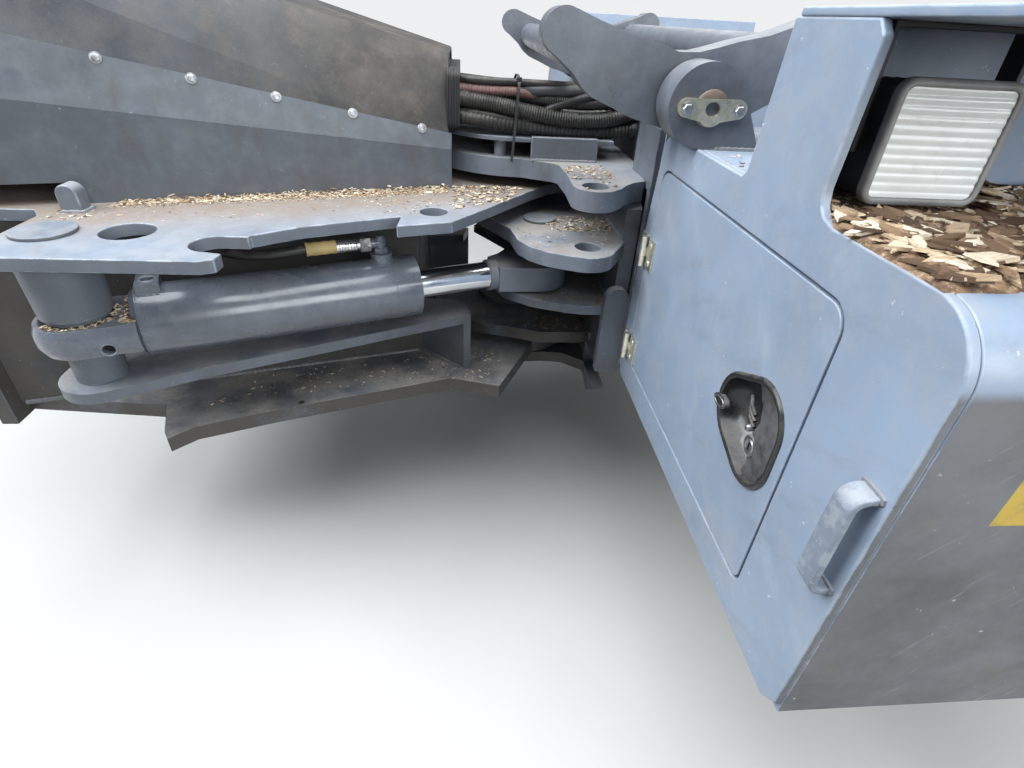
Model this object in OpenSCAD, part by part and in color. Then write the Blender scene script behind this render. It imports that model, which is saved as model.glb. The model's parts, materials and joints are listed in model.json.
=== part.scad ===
// Centre joint of a forestry harvester: the two frame ends that meet at the steering hinge,
// with their steering cylinders, covers, storage boxes, work lamps and levelling cradle.
// Rear is -X and front is +X. Near is the -Y side and far is the +Y side.
// The origin is the middle of the rear end plate's outer face, a little under the cylinder axes.

/* [Joint] */
// Distance from the rear end plate's outer face to the steering axis
joint_x = 1000; // [960:5:1100]
// Distance from the steering axis to the front flange's outer face
front_len = 860; // [800:5:1000]
// Radius of the steering hinge pins
hinge_pin_r = 55; // [40:1:62]
// Radius of the hinge pins' caps
hinge_cap_r = 78; // [66:1:84]
// Thickness of the hinge pins' caps
hinge_cap_t = 10; // [6:1:14]
// Radius of the front arms' rounded hinge ends
hub_r = 196; // [180:1:202]
// Radius of the rear plates' rounded hinge ends
rear_hub_r = 170; // [150:1:174]
// Radius of the thrust bosses round the hinge pins
thrust_r = 92; // [86:1:110]
// Radial clearance of every pin in its bore
pin_fit = 0.05; // [0.02:0.01:0.08]
// Gap between faces that turn on each other
face_gap = 0.3; // [0.2:0.05:0.5]

/* [Rear frame] */
// Thickness of the rear end plate
rear_end_t = 30; // [20:1:40]
// Half width of the rear end plate at frame height
rear_end_w = 450; // [440:1:480]
// Height of the rear upper plate's underside above the origin
upper_z = 152; // [148:1:156]
// Thickness of the rear upper plate
upper_t = 20; // [14:1:24]
// Depth of the rear lower plate's top face below the origin
lower_z = 205; // [200:1:215]
// Thickness of the rear lower plate
lower_t = 30; // [20:1:34]
// Thickness of the rear frame's side webs
web_t = 20; // [12:1:26]
// Distance from the steering axis to the rear frame's nose plate
nose_x = 215; // [212:1:225]
// Depth of the shelf's top face below the origin
shelf_z = 70; // [68:1:84]
// Thickness of the shelf under each cylinder
shelf_t = 20; // [14:1:26]
// Width of the gusset's front edge at the end of each shelf
shelf_gusset_t = 15; // [10:1:24]
// Radius of the large hole in each wing of the upper plate
wing_hole_r = 37.5; // [25:0.5:45]
// Radius of the small hole near the nose of the upper plate
nose_hole_r = 24.5; // [15:0.5:30]

/* [Covers] */
// Thickness of the cover sheets
sheet_t = 6; // [4:0.5:10]
// Height of the side cover's fold at its front end
fold_front_z = 245; // [240:1:255]
// Height of the side cover's fold at its rear end
fold_rear_z = 350; // [330:1:360]
// Height of the bolted band's top edge at its front end
band_front_z = 272; // [266:1:285]
// Height of the bolted band's top edge at its rear end
band_rear_z = 450; // [420:1:470]
// Height of the hood at its front end
hood_front_z = 402; // [380:1:420]
// Height of the hood at its rear end
hood_rear_z = 600; // [560:1:620]
// Lean of the bolted band, in degrees from upright
band_tilt = 19; // [10:1:28]
// How far the hood's sides lean inward
hood_lean = 30; // [10:1:50]
// Gap between the hood and the bands that it tucks behind
hood_gap = 2; // [1:0.5:4]

/* [Steering cylinders] */
// Outer radius of the barrel
barrel_r = 59; // [56:0.5:64]
// Inner radius of the barrel
barrel_bore_r = 50; // [44:0.5:52]
// Distance from the base pin to the gland's face
barrel_len = 545; // [543:1:555]
// Length of the gland that guides the rod
gland_len = 50; // [40:1:50]
// Radius of the rod
rod_r = 27.5; // [24:0.5:32]
// Length of the piston
piston_len = 40; // [30:1:45]
// Radius of the base pin and of the rod pin
cyl_pin_r = 30; // [24:0.5:34]
// Radius of the base eye
base_eye_r = 66; // [60:0.5:70]
// Half thickness of the base eye
base_eye_h = 24; // [20:0.5:30]
// Radius of the rod eye
rod_eye_r = 64; // [56:0.5:68]
// Half thickness of the rod eye
rod_eye_h = 26; // [20:0.5:27]
// Radius of the base pin's cap
base_cap_r = 42.5; // [38:0.5:50]
// Radius of the rod pin's head
rod_head_r = 33; // [31:0.5:40]

/* [Front frame] */
// Thickness of the front frame's top arm
arm_t = 35; // [28:1:38]
// Height of the front top arm's underside
top_arm_z = 194; // [190:1:200]
// Height of the rod clevis plate's underside
clevis_z = 93; // [90:1:96]
// Thickness of the rod clevis plate and of the two lower arms
clevis_t = 28; // [20:1:30]
// Depth of the rod lug plate's top face
rod_lug_z = 17; // [17:1:24]
// Thickness of the rod lug plate
lug_t = 20; // [14:1:26]
// Depth of the front lower arm's top face
lower_arm_z = 145; // [142:1:150]
// Gap between the rear lower plate and the front bottom arm
bottom_gap = 10; // [8:1:15]
// Radius of the lock holes in the ears
lock_hole_r = 23.5; // [15:0.5:28]
// Distance from the steering axis to the front face of the storage boxes
box_x = 210; // [205:1:220]
// Thickness of the front end plate
end_t = 28; // [20:1:32]
// Thickness of the front flange
flange_t = 30; // [20:1:40]
// Half width of the front beam
beam_w = 372; // [340:1:378]
// Wall thickness of the front beam
beam_wall = 14; // [10:1:20]

/* [Storage boxes] */
// Distance from the middle plane to a box's outer side
box_w = 1080; // [1070:1:1120]
// Height of a box's top
box_top_z = 322; // [322:1:328]
// Depth of a box's bottom
box_bottom_z = 149; // [140:1:160]
// Thickness of a box's front plate
front_t = 10; // [8:0.5:14]
// Thickness of a box's walls
wall_t = 6; // [4:0.5:10]
// Height of the deck's top
deck_top_z = 488; // [484:1:500]
// Thickness of the deck
deck_t = 8; // [6:0.5:12]
// Width of a door
door_w = 525; // [500:1:525]
// Height of a door
door_h = 359; // [330:1:360]
// Thickness of a door
door_t = 8; // [6:0.5:9]
// Gap round a door
door_gap = 3; // [2.5:0.5:4]
// Radius of a box's upper outer edge
box_corner_r = 56; // [20:1:80]
// Radius of a door's corners
door_corner_r = 28; // [15:1:40]

/* [Hidden] */
$fn = 64;

steel = "slategray";
dark = "dimgray";
black = "#202020";
zinc = "silver";

base_pin = [-723, -525];
cyl_z = 15;
rod_pin = [36, -234];
lock_hole = [108, -390];
cyl_angle = atan2(rod_pin.y - base_pin.y, rod_pin.x - base_pin.x);
cyl_len = norm(rod_pin - base_pin);
rear_x = -joint_x + rear_end_t;
bottom_arm_z = lower_z + lower_t + bottom_gap;
end_x = box_x - end_t;
big = 3000;

// Everything is drawn round the steering axis and shifted to the end plate here
module at_joint() { translate([joint_x, 0, 0]) children(); }
module both_sides() { children(); mirror([0, 1, 0]) children(); }
module far_side() { mirror([0, 1, 0]) children(); }
// A plate of the drawn outline between two heights
module plate(z_low, z_high) { translate([0, 0, z_low]) linear_extrude(z_high - z_low) children(); }
// A plate of an outline drawn in Y and Z, between two distances along X
module wall_x(x_low, x_high) {
    translate([x_low, 0, 0]) rotate([90, 0, 90]) linear_extrude(x_high - x_low) children();
}
// A plate of an outline drawn in X and Z, between two distances along Y
module wall_y(y_low, y_high) {
    translate([0, y_high, 0]) rotate([90, 0, 0]) linear_extrude(y_high - y_low) children();
}
module slab(low, high) { translate(low) cube(high - low); }
module post(at, r, z_low, z_high) { translate([at.x, at.y, z_low]) cylinder(r=r, h=z_high - z_low); }
// A rectangle with rounded corners
module round_rect(low, high, r) {
    translate([low.x + r, low.y]) square([high.x - low.x - 2 * r, high.y - low.y]);
    translate([low.x, low.y + r]) square([high.x - low.x, high.y - low.y - 2 * r]);
    for (x = [low.x + r, high.x - r]) for (y = [low.y + r, high.y - r]) translate([x, y]) circle(r);
}

// The outline that a disc of radius r covers when it runs round the given corners, counter-clockwise.
// The straight sides lie a hair inside the discs, so that both meet at a clear crossing.
side_inset = 0.02;
module rounded_corners(corners, r) {
    polygon(corners);
    for (i = [0 : len(corners) - 1]) let(
        a = corners[i], b = corners[(i + 1) % len(corners)], d = (b - a) / norm(b - a), out = [d.y, -d.x]) {
        polygon([a, b, b + (r - side_inset) * out, a + (r - side_inset) * out]);
        translate(a) circle(r);
    }
}

// Plan line of the side covers' foot and of the webs under them
cover_front = [-142, -207];
cover_slope = 0.2894;
function cover_y(x) = cover_front.y + (x - cover_front.x) * cover_slope;
cover_angle = atan(cover_slope);
// How far the band's top edge lies inside the cover's foot, for its height over the fold
function band_inset(rise) = rise * tan(band_tilt) / cos(cover_angle);
// Cross-section of the hood at one end, with its skirt reaching down behind the bands
function hood_ring(x, fold_z, band_z, top_z, inset, skirt) = let(
    y = -cover_y(x) - band_inset(band_z - fold_z) - (sheet_t + hood_gap) / cos(cover_angle) - inset,
    low = band_z - skirt, corner = 40)
    [[-y, low], [y, low], [y - hood_lean, top_z - corner - inset], [y - hood_lean - corner, top_z - inset],
        [-y + hood_lean + corner, top_z - inset], [-y + hood_lean, top_z - corner - inset]];
web_front_y = 185;
web_rear_y = 400;
function web_y(x) = -web_front_y - (web_rear_y - web_front_y) * (-nose_x - x) / (-nose_x - rear_x);

module rear_end_plate() {
    y = -cover_y(rear_x);
    band_y = y - band_inset(band_rear_z - fold_rear_z);
    top = upper_z + upper_t;
    color(steel) wall_x(-joint_x, rear_x) {
        polygon([[-rear_end_w, -lower_z - lower_t], [rear_end_w, -lower_z - lower_t], [rear_end_w, top],
            [y, top], [y, fold_rear_z], [band_y, band_rear_z], [-band_y, band_rear_z],
            [-y, fold_rear_z], [-y, top], [-rear_end_w, top]]);
        polygon(hood_ring(rear_x, fold_rear_z, band_rear_z, hood_rear_z, 0, 20));
    }
}

module upper_half() {
    difference() {
        union() {
            polygon([[rear_x, 0], [rear_x, -rear_end_w + 30], [-800, -rear_end_w + 30], [-778, -450],
                [-778, -605], [-758, -625], [-474, -625], [-456, -616], [-450, -560],
                [-438, -518], [-376, -473], [-225, -404], [-228, -456], [-138, -427],
                [-44, -298], [11, -221], [62, -158], [0, 0]]);
            circle(rear_hub_r);
        }
        // Hook-shaped notch behind the wing's lip
        translate([-478, -556]) circle(32);
        polygon([[-478, -588], [-430, -600], [-420, -524], [-478, -524]]);
        translate(base_pin) circle(cyl_pin_r + pin_fit);
        translate([-615, -511]) circle(wing_hole_r);
        translate([-171, -371]) circle(nose_hole_r);
        circle(hinge_pin_r + pin_fit);
    }
}

module rear_upper_plate() {
    top = upper_z + upper_t;
    color(steel) {
        plate(upper_z, top) both_sides() upper_half();
        // Thrust bosses that fill the gaps to the front arms
        difference() {
            plate(clevis_z + clevis_t + face_gap, top_arm_z - face_gap) circle(thrust_r);
            plate(clevis_z, top_arm_z + 1) circle(hinge_pin_r + pin_fit);
            plate(upper_z, top) circle(thrust_r + 1);
        }
    }
}

module lower_half() {
    difference() {
        union() {
            polygon([[rear_x, 0], [rear_x, -web_rear_y], [-700, -430], [-668, -515], [-655, -535],
                [-620, -500], [-486, -447], [-146, -331], [-41, -362], [52, -162], [0, 0]]);
            circle(rear_hub_r);
        }
        circle(hinge_pin_r + pin_fit);
        translate([-445, -420]) circle(6);
    }
}

module rear_lower_plate() {
    color(steel) {
        plate(-lower_z - lower_t, -lower_z) both_sides() lower_half();
        difference() {
            plate(-bottom_arm_z + face_gap, -lower_arm_z - clevis_t - face_gap) circle(thrust_r);
            plate(-bottom_arm_z, -lower_arm_z) circle(hinge_pin_r + pin_fit);
            plate(-lower_z - lower_t, -lower_z) circle(thrust_r + 1);
        }
    }
}

// Two side webs and the nose plate that joins them, between the two plates
module rear_webs() {
    color(steel) plate(-lower_z, upper_z) {
        both_sides() polygon([[rear_x, -web_rear_y], [rear_x, -web_rear_y - web_t],
            [-nose_x, -web_front_y - web_t], [-nose_x, -web_front_y]]);
        translate([-nose_x - web_t, -web_front_y - 8]) square([web_t, 2 * web_front_y + 16]);
    }
}

shelf_tip = [-103, -287];
module shelf_outline() {
    difference() {
        union() {
            translate(base_pin) circle(63);
            polygon([[-783, web_y(-783) - web_t], [-786, -525], [-696, -582], [-573, -510], [-422, -439],
                [-246, -353], [-136, -303], shelf_tip, [shelf_tip.x - 16, shelf_tip.y + 66],
                [-nose_x, -web_front_y - web_t]]);
        }
        translate(base_pin) circle(cyl_pin_r + pin_fit);
    }
}

module shelves() {
    color(steel) both_sides() {
        plate(-shelf_z - shelf_t, -shelf_z) shelf_outline();
        // Gusset from the shelf's tip to the web's front corner
        plate(-lower_z, -shelf_z - shelf_t) polygon([[shelf_tip.x - shelf_gusset_t, shelf_tip.y - 6], shelf_tip,
            [-nose_x + 11, -web_front_y - 10], [-nose_x, -web_front_y - 10], [-nose_x, -web_front_y - web_t]]);
    }
}

// Tapered boss over each base eye, with a narrow neck that seats on it, and a spacer ring under it
boss_low_r = 50;
boss_top_r = 54;
boss_neck_r = 45;
boss_neck_h = 8;
spacer_r = 38;
module base_bosses() {
    neck_z = cyl_z + base_eye_h + face_gap;
    color(steel) both_sides() difference() {
        union() {
            post(base_pin, boss_neck_r, neck_z, neck_z + boss_neck_h + 1);
            translate([base_pin.x, base_pin.y, neck_z + boss_neck_h])
                cylinder(r1=boss_low_r, r2=boss_top_r, h=upper_z - neck_z - boss_neck_h);
            post(base_pin, spacer_r, -shelf_z, cyl_z - base_eye_h - face_gap);
        }
        post(base_pin, cyl_pin_r + pin_fit, -shelf_z - 1, upper_z + 1);
    }
}

module base_pins() {
    top = upper_z + upper_t;
    color(steel) both_sides() {
        post(base_pin, cyl_pin_r, -shelf_z - shelf_t - 8, top);
        post(base_pin, base_cap_r, top, top + 5);
    }
}

// Round-topped lug on each wing behind the cover's corner
module cover_lugs() {
    top = upper_z + upper_t;
    color(steel) both_sides() translate([-737, -402, top]) rotate([90, 0, 0]) linear_extrude(28) {
        translate([-16, 0]) square([32, 26]);
        translate([0, 26]) circle(16);
    }
}

// One side cover: an upright sheet with a step in its foot, and the bolted band that leans in
module side_cover() {
    top = upper_z + upper_t;
    length = (cover_front.x - rear_x) / cos(cover_angle);
    step = 620;
    foot_step = 34;
    fold_rise = fold_rear_z - fold_front_z;
    fold_angle = atan(fold_rise / length);
    band_front_h = (band_front_z - fold_front_z) / cos(band_tilt);
    band_rear_h = (band_rear_z - fold_rear_z) / cos(band_tilt);
    color(steel) difference() {
        translate([cover_front.x, cover_front.y, 0]) rotate([0, 0, cover_angle]) {
            wall_y(0, sheet_t) polygon([[0, top], [0, fold_front_z], [-length - 2, fold_rear_z + 0.25],
                [-length - 2, top + foot_step], [-step - 20, top + foot_step], [-step, top + foot_step - 20],
                [-step, top]]);
            translate([0, 0, fold_front_z]) rotate([0, fold_angle, 0]) rotate([-band_tilt, 0, 0])
                wall_y(0, sheet_t) polygon([[0, -1], [0, band_front_h], [-length * 1.02, band_rear_h],
                    [-length * 1.02, -1]]);
        }
        // Cut flush with the rear end plate
        slab([rear_x - 200, -big, 0], [rear_x, big, big]);
    }
}
module near_side_cover() { side_cover(); }
module far_side_cover() { far_side() side_cover(); }

// Textured hood over the hoses, open below and at its front end
hood_skirt = 20;
module hood_solid(inset, skirt) {
    front_x = cover_front.x - 6;
    hull() {
        wall_x(rear_x, rear_x + 1)
            polygon(hood_ring(rear_x, fold_rear_z, band_rear_z, hood_rear_z, inset, skirt));
        wall_x(front_x - 1, front_x)
            polygon(hood_ring(front_x, fold_front_z, band_front_z, hood_front_z, inset, skirt));
    }
}
module hood() {
    color(dark) difference() {
        hood_solid(0, hood_skirt);
        hood_solid(sheet_t, hood_skirt + 60);
    }
}

module rear_hose_plate() {
    color(dark) slab([-245, -150, upper_z + upper_t], [-235, 150, 380]);
}

// The cylinder lies along +X from its base pin before it is turned into place
module along_cylinder() {
    translate([base_pin.x, base_pin.y, cyl_z]) rotate([0, 0, cyl_angle]) children();
}
module rod_x(r, x0, x1) { translate([x0, 0, 0]) rotate([0, 90, 0]) cylinder(r=r, h=x1 - x0); }

eye_round = 6;
port_block_x = [88, 122];
port_r = 9.5;
grease_hole = [36, -11];
grease_hole_r = 9;
module barrel() {
    cavity_x = 150;
    shoulder_x = 74;
    band_h = 9;
    color(steel) along_cylinder() difference() {
        union() {
            // Base eye, drawn in above and below its middle band
            translate([0, 0, -band_h]) cylinder(r=base_eye_r, h=2 * band_h);
            translate([0, 0, band_h]) cylinder(r1=base_eye_r, r2=base_eye_r - eye_round, h=base_eye_h - band_h);
            translate([0, 0, -base_eye_h])
                cylinder(r1=base_eye_r - eye_round, r2=base_eye_r, h=base_eye_h - band_h);
            rotate([90, 0, 90]) linear_extrude(shoulder_x + 6) polygon([[-base_eye_r + eye_round, -base_eye_h],
                [base_eye_r - eye_round, -base_eye_h], [base_eye_r, -band_h], [base_eye_r, band_h],
                [base_eye_r - eye_round, base_eye_h], [-base_eye_r + eye_round, base_eye_h],
                [-base_eye_r, band_h], [-base_eye_r, -band_h]]);
            // Barrel with its drawn-in shoulder
            rod_x(barrel_r, shoulder_x + 10, barrel_len);
            translate([shoulder_x, 0, 0]) rotate([0, 90, 0]) cylinder(r1=barrel_r - 8, r2=barrel_r, h=10);
            // Port block near the base eye and port boss near the gland
            translate([port_block_x[0], -24, barrel_r - 15]) cube([port_block_x[1] - port_block_x[0], 48, 27]);
            translate([barrel_len - 62, 0, 44]) cylinder(r=20, h=30);
        }
        // Open port in the block and grease hole in the eye's outer flank
        translate([(port_block_x[0] + port_block_x[1]) / 2, 0, barrel_r - 4]) cylinder(r=port_r, h=20);
        translate([grease_hole.x, -base_eye_r + 14, grease_hole.y]) rotate([90, 0, 0])
            cylinder(r=grease_hole_r, h=20);
        translate([0, 0, -base_eye_h - 1]) cylinder(r=cyl_pin_r + pin_fit, h=2 * base_eye_h + 2);
        rod_x(barrel_bore_r, cavity_x, barrel_len - gland_len);
        rod_x(rod_r + pin_fit, barrel_len - gland_len - 1, barrel_len + 1);
    }
}
module near_barrel() { barrel(); }
module far_barrel() { far_side() barrel(); }

module rod() {
    piston_x = 310;
    neck_x = cyl_len - 99;
    neck_y = 34;
    color(zinc) along_cylinder() {
        rod_x(rod_r, piston_x, neck_x);
        rod_x(barrel_bore_r - pin_fit, piston_x, piston_x + piston_len);
        rod_x(rod_r + 4, neck_x - 16, neck_x + 4);
        translate([cyl_len, 0, -rod_eye_h]) cylinder(r=rod_eye_r, h=2 * rod_eye_h);
        // Neck that widens to the eye
        translate([0, 0, -rod_eye_h]) linear_extrude(2 * rod_eye_h) polygon([[neck_x, -neck_y],
            [cyl_len - 20, -rod_eye_r + 3.5], [cyl_len - 20, rod_eye_r - 3.5], [neck_x, neck_y]]);
    }
}
module near_rod() { rod(); }
module far_rod() { far_side() rod(); }

// The stretch behind the front end plate's rear face
module behind_end_plate() {
    intersection() {
        children();
        translate([end_x - big, -big]) square([big, 2 * big]);
    }
}

// The ears pass through notches in the end plate
ear_y = 330;
ear_r = 40;
clevis_tip_r = 55;
module top_arm_half() {
    difference() {
        union() {
            behind_end_plate() circle(hub_r);
            polygon([[0, 0], [-5, -hub_r], [56, -226], [66, -240], [70, -316], [68, -388], [108, -390],
                [135, -418], [150, -404], [166, -378], [186, -356], [box_x - 2, -345],
                [box_x - 2, -ear_y], [end_x, -ear_y], [end_x, 0]]);
            translate(lock_hole) circle(ear_r);
        }
        circle(hinge_pin_r + pin_fit);
        translate(lock_hole) circle(lock_hole_r);
    }
}
module front_top_arm() {
    color(steel) plate(top_arm_z, top_arm_z + arm_t) both_sides() top_arm_half();
}

module clevis_half() {
    behind_end_plate() difference() {
        union() {
            circle(hub_r);
            polygon([[0, 0], [-100, -165], [-28, -296], [-18, -362], [2, -397], [30, -421], [59, -435],
                [81, -443], [142, -433], [162, -400], [end_x, -364], [end_x, 0]]);
            translate(lock_hole - [5, 3]) circle(clevis_tip_r);
        }
        circle(hinge_pin_r + pin_fit);
        translate(lock_hole) circle(lock_hole_r);
        translate(rod_pin) circle(cyl_pin_r + pin_fit);
    }
}
module rod_clevis_plate() {
    color(steel) plate(clevis_z, clevis_z + clevis_t) both_sides() clevis_half();
}

module rod_lug_plate() {
    color(steel) plate(-rod_lug_z - lug_t, -rod_lug_z) both_sides() difference() {
        union() {
            translate(rod_pin) circle(52);
            polygon([[0, 0], [-90, -150], [-31, -278], [18, -316], [58, -333], [118, -351], [end_x, -351],
                [end_x, 0]]);
        }
        translate(rod_pin) circle(cyl_pin_r + pin_fit);
    }
}

module front_lower_arm() {
    color(steel) plate(-lower_arm_z - clevis_t, -lower_arm_z) behind_end_plate() difference() {
        union() {
            circle(hub_r);
            both_sides() polygon([[0, 4], [-32, -193], [60, -225], [155, -224], [end_x, -214], [end_x, 4]]);
        }
        circle(hinge_pin_r + pin_fit);
    }
}

module front_bottom_arm() {
    color(steel) plate(-bottom_arm_z - clevis_t, -bottom_arm_z) difference() {
        union() {
            circle(150);
            both_sides() polygon([[0, 4], [0, -150], [80, -144], [130, -150], [end_x, -190], [end_x, 4]]);
        }
        circle(hinge_pin_r + pin_fit);
    }
}

module hinge_pins() {
    color(steel) {
        post([0, 0], hinge_pin_r, clevis_z - 4, top_arm_z + arm_t);
        post([0, 0], hinge_cap_r, top_arm_z + arm_t, top_arm_z + arm_t + hinge_cap_t);
        post([0, 0], hinge_pin_r, -bottom_arm_z - clevis_t - 4, -lower_arm_z);
        post([0, 0], hinge_cap_r, -lower_arm_z, -lower_arm_z + hinge_cap_t);
    }
}

// The rod pin's fixed ends: one in the clevis plate, one in the lug plate
module rod_pin_heads() {
    top = clevis_z + clevis_t;
    color(steel) both_sides() {
        post(rod_pin, cyl_pin_r, cyl_z + rod_eye_h + 8, top);
        post(rod_pin, rod_head_r, top, top + 5);
        post(rod_pin, cyl_pin_r, -rod_lug_z - lug_t, -rod_lug_z);
    }
}

module front_end_plate() {
    low = -bottom_arm_z - clevis_t - 8;
    top = top_arm_z + arm_t;
    pad_x = 186;
    color(steel) both_sides() {
        // Notched for the rear lower plate's sweep and for the ear
        wall_x(end_x, box_x) polygon([[0, low], [-205, low], [-245, low - 12], [-266, low + 4],
            [-300, -bottom_arm_z - 4], [-180, -bottom_arm_z - 4], [-180, -lower_z + 15],
            [-320, -lower_z + 15], [-345, -lower_z + 40], [-352, -60], [-352, 180],
            [-ear_y, top_arm_z], [-ear_y, top], [0, top]]);
        // Side pad with a rounded top
        wall_y(-372, -352) {
            translate([pad_x, 6]) circle(box_x - pad_x);
            translate([2 * pad_x - box_x, -160]) square([2 * (box_x - pad_x), 166]);
        }
    }
}

module front_beam() {
    top = top_arm_z + arm_t;
    color(steel) {
        difference() {
            slab([box_x, -beam_w, -box_bottom_z], [front_len - flange_t, beam_w, top]);
            slab([box_x - 1, -beam_w + beam_wall, -box_bottom_z + beam_wall],
                [front_len, beam_w - beam_wall, top - beam_wall]);
        }
        // Upright on each side, between the hose plate and the box
        both_sides() slab([box_x, -beam_w, top - 1], [box_x + end_t, -hose_plate_y - 5, box_top_z]);
    }
}

module front_flange() {
    color(steel) slab([front_len - flange_t, -box_w, -box_bottom_z], [front_len, box_w, box_top_z]);
}

// Raised plate that carries the hoses over the hinge
module hose_carrier() {
    base = top_arm_z + arm_t;
    seat = base + 31;
    color(steel) {
        plate(seat, seat + 8) difference() {
            union() {
                circle(193);
                translate([0, -193]) square([end_x - 2, 386]);
            }
            circle(60);
        }
        both_sides() {
            slab([14, -205, base], [146, -190, seat + 12]);
            post([-45, -165], 12, base, seat);
        }
    }
}

hose_plate_y = 240;
module front_hose_plate() {
    color(dark) slab([box_x + 20, -hose_plate_y, top_arm_z + arm_t], [box_x + 30, hose_plate_y, 385]);
}

// Hoses that cross the steering axis: start, middle and end heights and sides
hose_r = 15.5;
// columns: side at the rear plate, height there, side at the middle, height there, side at the
// front plate, height there
hose_table = [
    [-112, 290, -185, 287, -150, 290],
    [-72, 290, -135, 287, -112, 290],
    [-32, 290, -70, 287, -72, 290],
    [-94, 322, -168, 319, -134, 322],
    [-54, 322, -112, 319, -92, 322],
    [-74, 354, -150, 351, -112, 354],
    [12, 290, 20, 287, 0, 290],
    [54, 290, 60, 287, 50, 290],
    [34, 322, 40, 319, 30, 322]];
hose_x = [-235, 0, box_x + 20];
function hose_point(h, t) = let(u = 1 - t) [
    (1 - t) * hose_x[0] + t * hose_x[2],
    u * u * h[0] + 2 * u * t * h[2] + t * t * h[4],
    u * u * h[1] + 2 * u * t * h[3] + t * t * h[5]];
module tube_along(points, r, sides) {
    rings = len(points);
    verts = [for (i = [0 : rings - 1]) let(
        inner = i > 0 && i < rings - 1,
        d = inner ? points[i + 1] - points[i - 1] : [1, 0, 0],
        w = d / norm(d), s = cross([0, 0, 1], w), a = s / norm(s), b = cross(w, a))
        for (k = [0 : sides - 1]) points[i] + r * (cos(360 * k / sides) * a + sin(360 * k / sides) * b)];
    faces = concat(
        [[for (k = [0 : sides - 1]) k]],
        [[for (k = [0 : sides - 1]) (rings - 1) * sides + sides - 1 - k]],
        [for (i = [0 : rings - 2]) for (k = [0 : sides - 1])
            let(j = i * sides, n = (k + 1) % sides) [j + k, j + sides + k, j + sides + n, j + n]]);
    polyhedron(verts, faces);
}
module joint_hoses() {
    color(black) for (h = hose_table) tube_along([for (i = [0 : 10]) hose_point(h, i / 10)], hose_r, 10);
}

// The door hangs from its hinge, so its free edge moves with its width. The hinge stands beside the beam
hinge_axis = [box_x - 8, -beam_w - 49];
door_low = [hinge_axis.y - 7 - door_w, -91];
door_low_corner_r = 14;
module door_shape(grow) {
    low = [door_low.x - grow, door_low.y - grow];
    high = [door_low.x + door_w + grow, door_low.y + door_h + grow];
    a = door_low_corner_r - door_gap + grow;
    b = door_corner_r - door_gap + grow;
    polygon([[low.x + a, low.y], [high.x - a, low.y], [high.x - a, low.y + a], [high.x, low.y + a],
        [high.x, high.y - b], [high.x - b, high.y - b], [high.x - b, high.y], [low.x + b, high.y],
        [low.x + b, high.y - b], [low.x, high.y - b], [low.x, low.y + a], [low.x + a, low.y + a]]);
    for (x = [low.x + a, high.x - a]) translate([x, low.y + a]) circle(a);
    for (x = [low.x + b, high.x - b]) translate([x, high.y - b]) circle(b);
}
module door_hole() { door_shape(door_gap); }
module door_outline() { door_shape(0); }
// Rounded upper outer corner of a box, drawn smaller for the hollow
module box_corner(inset) {
    translate([-box_w + box_corner_r, box_top_z - box_corner_r]) circle(box_corner_r - inset);
}
// The panel's inner edge lies a little outside the beam
inner_y = -beam_w - 7;
module box_front() {
    color(steel) wall_x(box_x, box_x + front_t) difference() {
        union() {
            polygon([[inner_y, -box_bottom_z + 20], [inner_y, 110], [inner_y - 12, 188], [inner_y - 27, 300],
                [inner_y - 32, 310], [inner_y - 42, box_top_z - 5], [inner_y - 56, box_top_z],
                [-deck_wall_y + 32, box_top_z],
                [-deck_wall_y + 23, box_top_z + 8], [-deck_wall_y + 8, deck_top_z - deck_t],
                [-box_w + 223, deck_top_z - deck_t], [-box_w + 212, deck_top_z - deck_t - 12],
                [-box_w + 219, box_top_z + 26], [-box_w + 215, box_top_z + 12], [-box_w + 206, box_top_z + 4],
                [-box_w + 190, box_top_z], [-box_w + box_corner_r, box_top_z],
                [-box_w, box_top_z - box_corner_r], [-box_w, -box_bottom_z + 20],
                [-box_w + 20, -box_bottom_z], [inner_y - 21, -box_bottom_z]]);
            box_corner(0);
        }
        door_hole();
    }
}
module near_box_front() { box_front(); }
module far_box_front() { far_side() box_front(); }

module box_section(inner, inset) {
    right = -box_w + box_corner_r;
    translate([-box_w + inset, -box_bottom_z + inset])
        square([box_w - inner - 2 * inset, box_top_z - box_corner_r + box_bottom_z - inset]);
    translate([right, -box_bottom_z + inset])
        square([-inner - inset - right, box_top_z + box_bottom_z - 2 * inset]);
    box_corner(inset);
}
module box_body() {
    x0 = box_x + front_t;
    x1 = front_len - flange_t;
    inner = beam_w + 1;
    color(steel) difference() {
        wall_x(x0, x1) box_section(inner, 0);
        wall_x(x0 - 1, x1 + 1) box_section(inner, wall_t);
    }
}
module near_box_body() { box_body(); }
module far_box_body() { far_side() box_body(); }

// Deck over the lamp niche, with the wall that carries it on its inner side
deck_wall_y = 729;
module deck() {
    x0 = box_x + front_t;
    x1 = front_len - flange_t;
    color(steel) {
        slab([box_x, -box_w + 20, deck_top_z - deck_t], [x1, -deck_wall_y, deck_top_z]);
        slab([x0, -deck_wall_y - deck_t, box_top_z], [x1, -deck_wall_y, deck_top_z - deck_t]);
    }
}
module near_deck() { deck(); }
module far_deck() { far_side() deck(); }

// A flat bar bent out of the box front near its outer edge
handle_reach = 24;
handle_t = 7;
handle_w = 24;
handle_out = 8;
handle_z = [45, 164];
module grab_handles() {
    y = -box_w + handle_out;
    x = box_x - handle_reach;
    color(steel) both_sides() {
        slab([x, y, handle_z[0]], [x + handle_t, y + handle_w, handle_z[1]]);
        for (z = [handle_z[0], handle_z[1] - handle_t])
            slab([x + handle_t - 1, y, z], [box_x, y + handle_w, z + handle_t]);
    }
}

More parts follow.
